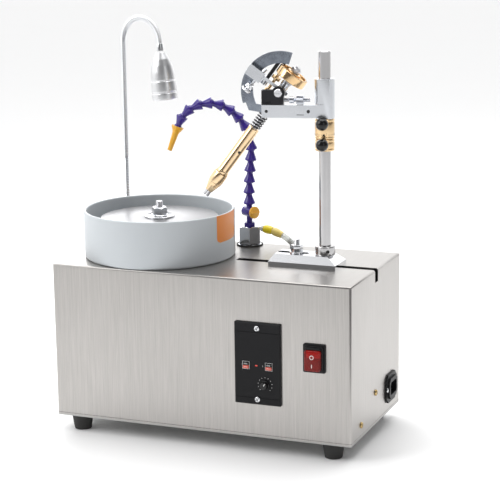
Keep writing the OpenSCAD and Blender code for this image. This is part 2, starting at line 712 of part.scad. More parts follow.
module water_inlet() color([0.75, 0.76, 0.78]) {
    at_union() {
        rotate([0, -45, 0]) translate([0, 0, -3]) cylinder(h = 11, r = 3);
        translate([4, 0, 176 - union_z]) cylinder(h = top_z - 176, r = hose_r);
        translate([4, 0, top_z - union_z]) cylinder(h = 2.5, r = 8);
        translate([4, 0, top_z - union_z]) cylinder(h = union_z - top_z + 1, r = 5.5);
    }
    machine() translate([union_x + 4, stand_y, 180]) rotate([-90, 0, 0]) rotate_extrude()
        polygon([[0, 0], [3.4, 0], [3.4, case_d / 2 - stand_y], [8, case_d / 2 - stand_y],
            [8, case_d / 2 - stand_y + 3], [3.6, case_d / 2 - stand_y + 4],
            [3.6, case_d / 2 - stand_y + 8], [4.2, case_d / 2 - stand_y + 8.2],
            [3.4, case_d / 2 - stand_y + 14], [4.2, case_d / 2 - stand_y + 14.2],
            [3.4, case_d / 2 - stand_y + rear_proud], [0, case_d / 2 - stand_y + rear_proud]]);
}

module valve_axis() rotate([0, 90, -28]) children();

module coolant_valve() color([0.2, 0.12, 0.48]) at_stand() difference() {
    union() {
        translate([0, 0, stand_top]) rotate([0, 0, -8]) hex_bar(13.6, 4.5, 2.5);
        translate([0, 0, stand_top + 4]) cylinder(h = line_z - stand_top - 6.5, r = 3.9);
        translate([0, 0, valve_z]) valve_axis() translate([0, 0, -9]) cylinder(h = 17, r = 6.75);
        translate([0, 0, line_z]) sphere(ball_r);
    }
    translate([0, 0, valve_z]) valve_axis() translate([0, 0, -20]) cylinder(h = 40, r = 3);
    translate([0, 0, stand_top - 1]) cylinder(h = 11, r = 2.5);
    translate([0, 0, valve_z + 3]) cylinder(h = 22, r = 2.5);
}

module valve_knob() color([0.95, 0.75, 0.2]) at_stand() translate([0, 0, valve_z])
    valve_axis() {
        translate([0, 0, -10]) cylinder(h = 19, r = 3 - fit);
        translate([0, 0, 8 + gap]) cylinder(h = 3.2, r = 8);
        translate([0, 0, -12.5]) cylinder(h = 3.2, r = 2.4);
        translate([0, -8, 8 + gap]) cube([2.4, 16, 4.6]);
    }

// one link: a socket with a flared skirt below and a ball above
module bead() difference() {
    union() {
        rotate_extrude() polygon([[0, -1.6], [7.4, -1.6], [7.7, -0.9], [7.5, 0.4],
            [4.2, 8.8], [3.9, 9.6], [3.9, bead_pitch - 3], [0, bead_pitch - 3]]);
        translate([0, 0, bead_pitch]) sphere(ball_r);
    }
    sphere(ball_r + 0.1);
    translate([0, 0, -3]) cylinder(h = 30, r = 2.5);
}

// a running total of the bends up to link i
function turned(i) = i < 0 ? 0 : bends[i] + turned(i - 1);
function ball_at(i) = i == 0 ? [0, line_z] :
    ball_at(i - 1) + bead_pitch * [sin(turned(i - 1)), cos(turned(i - 1))];

module on_line(i) at_stand() rotate([0, 0, line_heading])
    translate([ball_at(i)[0], 0, ball_at(i)[1]]) children();

module beads(first, last) for (i = [first : last]) on_line(i) rotate([0, turned(i), 0]) bead();

module coolant_column() color([0.2, 0.12, 0.48]) beads(0, column_beads - 1);

module coolant_arch() color([0.2, 0.12, 0.48]) beads(column_beads, len(bends) - 1);

module coolant_nozzle() color([0.96, 0.7, 0.15]) on_line(len(bends)) rotate([0, nozzle_turn, 0])
    difference() {
        rotate_extrude() polygon([[0, -1.6], [8, -1.6], [8.2, -0.6], [7.8, 0.6], [4.6, 7],
            [4.2, 9], [3.1, 32], [0, 32]]);
        sphere(ball_r + 0.1);
        translate([0, 0, -3]) cylinder(h = 60, r = 2);
    }

// Lamp

module lamp_base() color([0.8, 0.81, 0.83]) at_lamp() difference() {
    rotate_extrude() polygon([[0, inner_top - 8], [8, inner_top - 8], [8, inner_top],
        [5, inner_top], [5, top_z], [9, top_z], [9, top_z + 2.5], [7, top_z + 4],
        [6.4, top_z + 14], [0, top_z + 14]]);
    translate([0, 0, inner_top - 10]) cylinder(h = 60, r = neck_r + fit);
}

module lamp_neck() color([0.78, 0.79, 0.8]) at_lamp() {
    translate([0, 0, inner_top - 8]) cylinder(h = neck_split - 5 - inner_top + 8, r = neck_r);
    translate([0, 0, neck_split - 6]) cylinder(h = 6, r = neck_r - 0.6);
    translate([0, 0, neck_split]) sphere(neck_r - 0.2);
}

module lamp_arch() color([0.78, 0.79, 0.8]) at_lamp() {
    difference() {
        translate([0, 0, neck_split + 0.2])
            cylinder(h = neck_top - neck_split + 0.2, r = neck_r + 0.4);
        translate([0, 0, neck_split]) sphere(neck_r - 0.2 + fit);
    }
    translate([neck_bend_r, 0, neck_top]) rotate([90, 0, 0])
        rotate([0, 0, lamp_tilt]) rotate_extrude(angle = 180 - lamp_tilt)
            translate([neck_bend_r, 0]) circle(neck_r);
    on_head() translate([0, 0, 2]) cylinder(h = head_drop - 1.6, r = neck_r + 0.4);
    on_head() sphere(neck_r - 0.5);
    on_head() cylinder(h = 3, r = neck_r - 1);
}

// the head's pivot, with z up along the head's axis
module on_head() translate([neck_bend_r + neck_bend_r * cos(lamp_tilt), 0,
    neck_top + neck_bend_r * sin(lamp_tilt)]) rotate([0, -lamp_tilt, 0])
    translate([0, 0, -head_drop]) children();

module lamp_head() color([0.8, 0.81, 0.82]) at_lamp() on_head() difference() {
    rotate_extrude() polygon([[0, 0.6], [5, 0.6], [7.6, -3], [11, -9], [13.8, -17],
        [15.4, -26], [16, -36], [15.5, -36.6], [15.5, -37.4], [16.2, -38],
        [head_r, -51], [16.2, -51.6], [16.2, -53], [head_r, -53.6], [head_r, -head_l + 1],
        [head_r - 1, -head_l], [0, -head_l]]);
    sphere(neck_r - 0.5 + fit);
    cylinder(h = 5, r = neck_r + 0.8);
    translate([0, 0, -head_l - 1]) cylinder(h = 9, r = head_r - 2.2);
    translate([0, 0, -head_l + 7]) cylinder(h = 14, r = 12);
}

module lamp_lens() color([0.95, 0.96, 0.98, 0.6]) at_lamp() on_head()
    translate([0, 0, -head_l + 4]) cylinder(h = 4, r = head_r - 2.2);

case_shell();
bottom_plate();
rubber_feet();
case_screws();
motor_housing();
stator();
rotor();
bearings();
inverter_box();
control_board();
panel_bezel();
speed_knob();
run_button();
fwd_button();
switch_frame();
switch_rocker();
switch_boot();
inlet_body();
drip_pan();
spindle();
lap_platen();
lap_disc();
spindle_washer();
spindle_nut();
carriage_plate();
clamp_bolt();
clamp_nut();
mast();
lower_collar();
upper_collar();
lower_knob();
upper_knob();
arm();
adjust_screw();
pivot_block();
pivot_screw();
quadrant();
angle_stop();
stop_screw();
swing_plate();
index_plunger();
index_lever();
quill_shaft();
quill_spring();
quill_tube();
collet_nut();
index_wheel();
hose_stand();
supply_hose();
water_inlet();
coolant_valve();
valve_knob();
coolant_column();
coolant_arch();
coolant_nozzle();
lamp_base();
lamp_neck();
lamp_arch();
lamp_head();
lamp_lens();
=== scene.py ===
"""Bench faceting machine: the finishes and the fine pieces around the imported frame.

Sizes inside a local frame are millimetres, as on a drawing. Finished meshes are in
metres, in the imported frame's own axes.
"""
from __future__ import annotations

import json
import logging
import math
from dataclasses import dataclass
from enum import Enum
from typing import Iterable, Sequence

import bmesh
import bpy
from mathutils import Matrix, Vector


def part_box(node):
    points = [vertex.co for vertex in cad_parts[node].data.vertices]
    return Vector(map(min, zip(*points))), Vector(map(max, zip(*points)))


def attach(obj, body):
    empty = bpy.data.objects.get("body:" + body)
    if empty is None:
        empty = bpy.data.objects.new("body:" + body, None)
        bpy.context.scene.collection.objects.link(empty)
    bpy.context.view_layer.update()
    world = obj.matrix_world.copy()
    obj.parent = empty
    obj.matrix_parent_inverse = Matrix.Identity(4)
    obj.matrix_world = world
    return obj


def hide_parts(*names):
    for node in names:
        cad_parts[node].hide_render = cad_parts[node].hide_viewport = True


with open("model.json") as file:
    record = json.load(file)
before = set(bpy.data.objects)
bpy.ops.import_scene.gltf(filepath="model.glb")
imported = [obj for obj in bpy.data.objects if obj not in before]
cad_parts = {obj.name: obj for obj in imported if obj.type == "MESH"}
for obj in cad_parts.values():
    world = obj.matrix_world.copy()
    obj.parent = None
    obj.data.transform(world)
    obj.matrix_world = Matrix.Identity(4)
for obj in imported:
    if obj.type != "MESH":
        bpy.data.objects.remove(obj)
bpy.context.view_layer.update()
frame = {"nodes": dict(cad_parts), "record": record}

LOG = logging.getLogger("faceting_machine")
MM = 0.001
UP = (0.0, 0.0, 1.0)
Outline = Sequence[tuple[float, float]]


# Shader arithmetic

class Wire:
    """A socket that takes part in ordinary arithmetic."""

    def __init__(self, graph: "Graph", socket: bpy.types.NodeSocket) -> None:
        """Keeps the graph that the socket belongs to."""
        self.graph = graph
        self.socket = socket

    def _join(self, operation: str, first: "Value", second: "Value") -> "Wire":
        """Adds one Math node."""
        return self.graph.node("ShaderNodeMath", {"operation": operation}, {0: first, 1: second})

    def __add__(self, other: "Value") -> "Wire":
        """self + other."""
        return self._join("ADD", self, other)

    def __radd__(self, other: "Value") -> "Wire":
        """other + self."""
        return self._join("ADD", other, self)

    def __sub__(self, other: "Value") -> "Wire":
        """self - other."""
        return self._join("SUBTRACT", self, other)

    def __rsub__(self, other: "Value") -> "Wire":
        """other - self."""
        return self._join("SUBTRACT", other, self)

    def __mul__(self, other: "Value") -> "Wire":
        """self * other."""
        return self._join("MULTIPLY", self, other)

    def __rmul__(self, other: "Value") -> "Wire":
        """other * self."""
        return self._join("MULTIPLY", other, self)

    def __pow__(self, other: "Value") -> "Wire":
        """self ** other."""
        return self._join("POWER", self, other)

    def __gt__(self, other: "Value") -> "Wire":
        """1 where self is above other."""
        return self._join("GREATER_THAN", self, other)


Value = Wire | float | tuple


class Graph:
    """The node tree of one material, round a Principled shader."""

    def __init__(self, name: str) -> None:
        """Starts an empty material of that name."""
        self.material = bpy.data.materials.new(name)
        self.material.use_nodes = True
        self.tree = self.material.node_tree
        self.tree.nodes.clear()
        self.shader = self.tree.nodes.new("ShaderNodeBsdfPrincipled")
        output = self.tree.nodes.new("ShaderNodeOutputMaterial")
        self.tree.links.new(self.shader.outputs[0], output.inputs["Surface"])

    def node(self, kind: str, settings: dict | None = None, values: dict | None = None,
             output: str | int = 0) -> Wire:
        """Adds one node.

        Args:
            kind: the node's type.
            settings: its own settings.
            values: a number, vector, colour or Wire for each input that is set.
            output: the output that the Wire stands for.

        Returns:
            The chosen output as a Wire.
        """
        made = self.tree.nodes.new(kind)
        for key, value in (settings or {}).items():
            setattr(made, key, value)
        for key, value in (values or {}).items():
            self.feed(made.inputs[key], value)
        return Wire(self, made.outputs[output])

    def feed(self, socket: bpy.types.NodeSocket, value: Value) -> None:
        """Links a Wire to a socket, or sets its value."""
        if isinstance(value, Wire):
            self.tree.links.new(value.socket, socket)
        elif isinstance(value, tuple) and socket.type == "RGBA":
            socket.default_value = (*value, 1.0)
        else:
            socket.default_value = value

    def surface(self, **sockets: Value) -> None:
        """Feeds the shader's sockets, with underscores for the spaces in their names."""
        for key, value in sockets.items():
            self.feed(self.shader.inputs[key.replace("_", " ")], value)

    def coordinates(self) -> Wire:
        """The place on the object, in metres."""
        return self.node("ShaderNodeTexCoord", output="Object")

    def stretched(self, scale: tuple[float, float, float], turn: tuple = (0.0, 0.0, 0.0)) -> Wire:
        """Object coordinates multiplied along each axis, after a turn."""
        turned = self.node("ShaderNodeMapping", None,
                           {"Vector": self.coordinates(), "Rotation": turn})
        return self.node("ShaderNodeMapping", None, {"Vector": turned, "Scale": scale})

    def noise(self, vector: Wire, scale: float = 1.0, detail: float = 3.0,
              rough: float = 0.55) -> Wire:
        """A noise value around 0.5."""
        return self.node("ShaderNodeTexNoise", None, {
            "Vector": vector, "Scale": scale, "Detail": detail, "Roughness": rough})

    def mix(self, factor: Value, first: Value, second: Value) -> Wire:
        """A colour between two colours."""
        return self.node("ShaderNodeMix", {"data_type": "RGBA"},
                         {0: factor, 6: first, 7: second}, output=2)

    def bump(self, height: Value, depth: float) -> Wire:
        """A normal from a height, with the relief's depth in metres."""
        return self.node("ShaderNodeBump", None, {
            "Height": height, "Distance": depth, "Strength": 1.0})


class Surround(Graph):
    """The node tree of the world, round a Background shader."""

    def __init__(self, name: str) -> None:
        """Starts a world of that name."""
        self.world = bpy.data.worlds.new(name)
        self.world.use_nodes = True
        self.tree = self.world.node_tree
        self.shader = self.tree.nodes["Background"]


# Finishes

@dataclass(frozen=True)
class Finish:
    """A surface whose colour, gloss and relief vary a little, as on a made part.

    Args:
        name: the material's name.
        colour: its main colour.
        shade: the colour that it drifts to.
        metallic: 1 for bare metal.
        rough: its lowest roughness.
        spread: how far the roughness varies.
        grain: the relief's frequency along each axis, per metre.
        turn: the grain's turn.
        relief: the depth of the grain, in metres.
        drift: how many patches of shade there are in a metre.
        coat: a clear coat's weight.
        gloss: the strength of the plain reflection.
    """

    name: str
    colour: tuple[float, float, float]
    shade: tuple[float, float, float]
    metallic: float = 0.0
    rough: float = 0.4
    spread: float = 0.1
    grain: tuple[float, float, float] = (900.0, 900.0, 900.0)
    turn: tuple[float, float, float] = (0.0, 0.0, 0.0)
    relief: float = 0.00001
    drift: float = 25.0
    coat: float = 0.0
    gloss: float = 0.5

    def pattern(self, graph: Graph) -> Wire:
        """The grain's height."""
        return graph.noise(graph.stretched(self.grain, self.turn), detail=4.0)

    def constants(self, graph: Graph) -> None:
        """Sets the sockets that are the same all over."""
        graph.surface(Metallic=self.metallic, Coat_Weight=self.coat, Coat_Roughness=0.08,
                      Specular_IOR_Level=self.gloss)

    def make(self) -> bpy.types.Material:
        """Builds the material."""
        graph = Graph(self.name)
        grain = self.pattern(graph)
        patches = graph.noise(graph.coordinates(), self.drift, 4.0, 0.6)
        blend = (patches * 0.7 + grain * 0.3) ** 1.4
        graph.surface(Base_Color=graph.mix(blend, self.colour, self.shade),
                      Roughness=patches * self.spread + (self.rough - self.spread * 0.25)
                      + grain * (self.spread * 0.5),
                      Normal=graph.bump(grain, self.relief))
        self.constants(graph)
        return graph.material


@dataclass(frozen=True)
class BrushedSheet(Finish):
    """Sheet steel brushed upwards on its walls and backwards on its top."""

    def make(self) -> bpy.types.Material:
        """Builds the material."""
        graph = Graph(self.name)
        normal = graph.node("ShaderNodeNewGeometry", output="Normal")
        facing = graph.node("ShaderNodeSeparateXYZ", None, {0: normal}, output=2)
        top = graph.node("ShaderNodeMath", {"operation": "ABSOLUTE"}, {0: facing}) > 0.7
        walls = graph.stretched((1.0, 1.0, 0.006))
        lid = graph.stretched((1.0, 0.006, 1.0))
        fine = (graph.noise(walls, 3400.0, 3.0, 0.7) * (1.0 - top)
                + graph.noise(lid, 3400.0, 3.0, 0.7) * top)
        broad = (graph.noise(walls, 210.0, 3.0, 0.6) * (1.0 - top)
                 + graph.noise(lid, 210.0, 3.0, 0.6) * top)
        cloud = graph.noise(graph.coordinates(), 6.0, 2.0, 0.5)
        blend = fine * 0.72 + broad * 0.13 + cloud * 0.15
        sharp = graph.node("ShaderNodeMapRange", None, {
            0: blend, "From Min": 0.32, "From Max": 0.68})
        graph.surface(Base_Color=graph.mix(sharp, self.shade, self.colour),
                      Roughness=(fine * 0.5 + broad * 0.5) * self.spread + self.rough,
                      Normal=graph.bump(fine, self.relief))
        self.constants(graph)
        return graph.material


@dataclass(frozen=True)
class Turned(Finish):
    """Metal from the lathe, with its tool marks round one axis.

    Args:
        axis: the direction of the axis.
        pitch: the spacing of the tool marks, in metres.
    """

    axis: tuple[float, float, float] = UP
    pitch: float = 0.0005

    def pattern(self, graph: Graph) -> Wire:
        """The height of the tool marks."""
        along = graph.node("ShaderNodeVectorMath", {"operation": "DOT_PRODUCT"},
                           {0: graph.coordinates(), 1: self.axis}, output="Value")
        return graph.node("ShaderNodeTexNoise", {"noise_dimensions": "1D"}, {
            "W": along * (1.0 / self.pitch), "Scale": 1.0, "Detail": 3.0})


@dataclass(frozen=True)
class Faced(Finish):
    """A disc faced on a lathe: fine rings round its centre.

    Args:
        centre: the middle of the disc.
    """

    centre: tuple[float, float, float] = (0.0, 0.0, 0.0)

    def pattern(self, graph: Graph) -> Wire:
        """Rings round the centre, broken by short scratches."""
        flat = graph.node("ShaderNodeVectorMath", {"operation": "MULTIPLY_ADD"}, {
            0: graph.coordinates(), 1: (1.0, 1.0, 0.0),
            2: (-self.centre[0], -self.centre[1], 0.0)})
        radius = graph.node("ShaderNodeVectorMath", {"operation": "LENGTH"}, {0: flat},
                            output="Value")
        rings = graph.node("ShaderNodeTexNoise", {"noise_dimensions": "1D"}, {
            "W": radius * 2600.0, "Scale": 1.0, "Detail": 2.0})
        return rings * 0.7 + graph.noise(graph.coordinates(), 900.0, 4.0) * 0.3


@dataclass(frozen=True)
class Clear(Finish):
    """A see-through plastic or glass.

    Args:
        passes: how much light goes through.
        ior: its index of refraction.
    """

    passes: float = 0.8
    ior: float = 1.45

    def constants(self, graph: Graph) -> None:
        """Sets the sockets that are the same all over."""
        graph.surface(Metallic=0.0, Transmission_Weight=self.passes, IOR=self.ior)


@dataclass(frozen=True)
class Glowing(Finish):
    """A part with a light of its own.

    Args:
        glow: how strong the light is.
    """

    glow: float = 1.0

    def constants(self, graph: Graph) -> None:
        """Sets the sockets that are the same all over."""
        graph.surface(Metallic=0.0, Emission_Strength=self.glow, Emission_Color=self.colour)


class Finishes:
    """Every finish on the machine, made once and looked up by name."""

    def __init__(self, quill: tuple, arm: tuple, lap: tuple) -> None:
        """Makes the list of finishes.

        Args:
            quill: the direction of the quill.
            arm: the direction of the arm.
            lap: the middle of the lap.
        """
        steel, pale = (0.62, 0.61, 0.595), (0.83, 0.84, 0.86)
        chosen = [
            BrushedSheet("stainless", (0.55, 0.53, 0.51), (0.37, 0.357, 0.343), 1.0, 0.24,
                         0.14, relief=0.000012),
            Finish("sheet_steel", (0.5, 0.5, 0.49), (0.38, 0.38, 0.37), 1.0, 0.4, 0.15),
            Finish("black_rubber", (0.02, 0.02, 0.02), (0.045, 0.043, 0.04), 0.0, 0.62, 0.2,
                   relief=0.00006),
            Finish("brass_screws", (0.62, 0.45, 0.2), (0.5, 0.36, 0.16), 1.0, 0.22, 0.1),
            Finish("zinc_screws", pale, (0.6, 0.61, 0.63), 1.0, 0.16, 0.1),
            Finish("motor_paint", (0.06, 0.065, 0.07), (0.04, 0.04, 0.045), 0.0, 0.45, 0.1,
                   relief=0.00004),
            Turned("copper_windings", (0.4, 0.16, 0.06), (0.25, 0.1, 0.04), 0.6, 0.35, 0.1,
                   relief=0.0002, pitch=0.0012),
            Turned("rotor_steel", (0.35, 0.35, 0.36), (0.25, 0.25, 0.26), 1.0, 0.35, 0.1,
                   relief=0.00005),
            Finish("bearing_steel", pale, steel, 1.0, 0.12, 0.08),
            Finish("inverter_case", (0.05, 0.055, 0.06), (0.035, 0.035, 0.04), 0.0, 0.5, 0.1,
                   relief=0.00005),
            Finish("circuit_board", (0.02, 0.13, 0.05), (0.015, 0.08, 0.03), 0.0, 0.3, 0.1),
            Finish("black_panel", (0.006, 0.006, 0.007), (0.012, 0.012, 0.014), 0.0, 0.36,
                   0.12, (1500.0, 1500.0, 1500.0), relief=0.00002, gloss=0.2),
            Finish("black_knob", (0.004, 0.004, 0.004), (0.008, 0.008, 0.009), 0.0, 0.12, 0.1,
                   (300.0, 300.0, 300.0), relief=0.000004, coat=0.15, gloss=0.35),
            Finish("salmon_button", (0.72, 0.13, 0.09), (0.6, 0.1, 0.07), 0.0, 0.3, 0.1),
            Finish("black_plastic", (0.006, 0.006, 0.007), (0.014, 0.014, 0.016), 0.0, 0.34,
                   0.14, (1200.0, 1200.0, 1200.0), relief=0.00003, gloss=0.25),
            Glowing("red_rocker", (0.62, 0.015, 0.01), (0.5, 0.01, 0.008), 0.0, 0.2, 0.08,
                    glow=0.25),
            Clear("red_boot", (0.5, 0.03, 0.025), (0.38, 0.02, 0.015), 0.0, 0.12, 0.08,
                  (120.0, 120.0, 120.0), relief=0.0001, passes=0.6, ior=1.3),
            Turned("grey_pan", (0.6, 0.635, 0.66), (0.54, 0.575, 0.6), 0.0, 0.34, 0.12,
                   relief=0.000006, drift=9.0, pitch=0.0009),
            Finish("ground_steel", (0.58, 0.58, 0.6), (0.45, 0.45, 0.47), 1.0, 0.24, 0.12),
            Turned("aluminium", (0.78, 0.785, 0.795), (0.66, 0.665, 0.675), 1.0, 0.3, 0.1,
                   relief=0.000005, pitch=0.0004),
            Faced("lap_grey", (0.36, 0.36, 0.37), (0.28, 0.28, 0.29), 0.9, 0.3, 0.12,
                  relief=0.00001, centre=lap),
            Finish("chrome", pale, (0.7, 0.71, 0.735), 1.0, 0.07, 0.07,
                   (120.0, 120.0, 120.0), relief=0.000004),
            Turned("chrome_mast", (0.56, 0.555, 0.56), (0.42, 0.415, 0.42), 1.0, 0.1, 0.06,
                   relief=0.000003, pitch=0.0007),
            Turned("brass", (0.81, 0.58, 0.33), (0.7, 0.47, 0.24), 1.0, 0.12, 0.08,
                   relief=0.000003, axis=quill, drift=12.0),
            Turned("collar_brass", (0.82, 0.61, 0.36), (0.73, 0.51, 0.28), 1.0, 0.12, 0.08,
                   relief=0.000003, drift=12.0),
            Turned("quill_brass", (0.87, 0.66, 0.42), (0.79, 0.56, 0.33), 1.0, 0.13, 0.07,
                   relief=0.000003, axis=quill, drift=12.0),
            Turned("satin_chrome", (0.78, 0.8, 0.83), (0.64, 0.66, 0.7), 1.0, 0.16, 0.1,
                   relief=0.000006),
            Turned("rod_chrome", (0.7, 0.72, 0.76), (0.5, 0.52, 0.58), 1.0, 0.12, 0.1,
                   relief=0.000005, axis=arm),
            Finish("blued_chrome", (0.4, 0.44, 0.5), (0.05, 0.06, 0.09), 1.0, 0.16, 0.12,
                   (160.0, 160.0, 160.0), relief=0.00002, drift=70.0),
            Finish("black_anodised", (0.01, 0.01, 0.012), (0.02, 0.02, 0.024), 0.0, 0.3, 0.12,
                   gloss=0.3),
            Finish("spring_steel", (0.035, 0.035, 0.038), (0.06, 0.06, 0.065), 0.7, 0.28, 0.1),
            Clear("clear_hose", (0.86, 0.88, 0.85), (0.78, 0.8, 0.74), 0.0, 0.22, 0.1,
                  (60.0, 60.0, 60.0), relief=0.00008, passes=0.55),
            Finish("purple_plastic", (0.045, 0.018, 0.27), (0.026, 0.011, 0.18), 0.0, 0.2, 0.1,
                   (700.0, 700.0, 700.0), relief=0.000012, coat=0.25),
            Finish("yellow_plastic", (0.93, 0.5, 0.03), (0.86, 0.4, 0.02), 0.0, 0.26, 0.1,
                   (700.0, 700.0, 700.0), relief=0.000012, coat=0.2),
            Finish("bright_yellow", (0.95, 0.78, 0.02), (0.88, 0.66, 0.01), 0.0, 0.26, 0.1,
                   coat=0.2),
            Finish("pale_yellow", (0.9, 0.72, 0.22), (0.84, 0.64, 0.16), 0.0, 0.3, 0.1,
                   coat=0.2),
            Finish("orange_plastic", (0.86, 0.2, 0.02), (0.75, 0.15, 0.015), 0.0, 0.3, 0.1),
            Finish("gooseneck_chrome", (0.74, 0.75, 0.77), (0.6, 0.61, 0.63), 1.0, 0.13, 0.08),
            Clear("lamp_lens", (0.95, 0.96, 0.98), (0.9, 0.92, 0.95), 0.0, 0.05, 0.03,
                  (200.0, 200.0, 200.0), relief=0.00001, passes=0.95),
            Finish("orange_label", (0.9, 0.3, 0.05), (0.84, 0.25, 0.04), 0.0, 0.32, 0.1,
                   relief=0.000006),
            Finish("white_print", (0.85, 0.85, 0.84), (0.76, 0.76, 0.75), 0.0, 0.5, 0.1),
            # Dark for printed marks and black set screws, and also the painted shade in screw
            # recesses, holes and the bottom seam.
            Finish("dark_mark_and_shade", (0.02, 0.02, 0.022), (0.035, 0.035, 0.035), 0.0, 0.5, 0.1),
            Glowing("red_lamp", (0.75, 0.08, 0.05), (0.6, 0.05, 0.04), 0.0, 0.3, 0.1,
                    glow=0.3),
        ]
        self.made = {finish.name: finish.make() for finish in chosen}

    def __getitem__(self, name: str) -> bpy.types.Material:
        """The material of that name."""
        return self.made[name]


# Shapes

def place(origin: Iterable[float], z: Iterable[float] = UP,
          y: Iterable[float] = (0.0, 1.0, 0.0)) -> Matrix:
    """A local frame.

    Args:
        origin: its origin in the machine's frame, in metres.
        z: the direction of its z axis.
        y: the direction of its y axis, as near as z allows.

    Returns:
        A matrix from millimetres there to metres in the machine's frame.
    """
    up = Vector(z).normalized()
    right = Vector(y).cross(up).normalized()
    matrix = Matrix((right, up.cross(right), up)).transposed().to_4x4()
    matrix.translation = Vector(origin)
    return matrix @ Matrix.Scale(MM, 4)


def move(x: float = 0.0, y: float = 0.0, z: float = 0.0) -> Matrix:
    """A shift in millimetres."""
    return Matrix.Translation((x, y, z))


def turn(degrees: float, axis: str = "Z") -> Matrix:
    """A turn about an axis of the local frame."""
    return Matrix.Rotation(math.radians(degrees), 4, axis)


def soften(points: Outline, radius: float, steps: int = 3, closed: bool = False) -> Outline:
    """Rounds an outline's corners.

    Args:
        points: the outline.
        radius: how far from each corner its rounding starts.
        steps: the pieces in each rounding.
        closed: whether the last point joins the first.

    Returns:
        The rounded outline.
    """
    rounded = []
    last = len(points) - 1
    for index, point in enumerate(points):
        if not closed and index in (0, last):
            rounded.append(tuple(point))
            continue
        here = Vector(point)
        before = Vector(points[index - 1]) - here
        after = Vector(points[0 if index == last else index + 1]) - here
        start = here + before * min(0.45, radius / before.length)
        end = here + after * min(0.45, radius / after.length)
        for step in range(steps + 1):
            t = step / steps
            rounded.append(tuple(start.lerp(here, t).lerp(here.lerp(end, t), t)))
    return rounded


def arc(radius: float, start: float, end: float, steps: int, height: float = 0.0) -> Outline:
    """Points of a circle's arc about (0, height), between two angles in degrees."""
    angles = [math.radians(start + (end - start) * i / steps) for i in range(steps + 1)]
    return [(radius * math.cos(a), height + radius * math.sin(a)) for a in angles]


def hexagon(radius: float, start: float) -> Outline:
    """A hexagon with its first corner at an angle in degrees."""
    angles = [math.radians(start + 60 * i) for i in range(6)]
    return [(radius * math.cos(a), radius * math.sin(a)) for a in angles]


def heights(node: str) -> tuple[float, float]:
    """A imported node's lowest and highest point, in millimetres."""
    low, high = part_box(node)
    return low[2] / MM, high[2] / MM


def ribbed(radius: float, low: float, high: float, pitch: float, depth: float) -> Outline:
    """A rod's outline with a round rib at every pitch, as on a thread or a gooseneck."""
    count = max(1, round((high - low) / pitch)) * 4
    return [(radius - depth * (0.5 - 0.5 * math.cos(i * math.pi / 2)),
             low + (high - low) * i / count) for i in range(count + 1)]


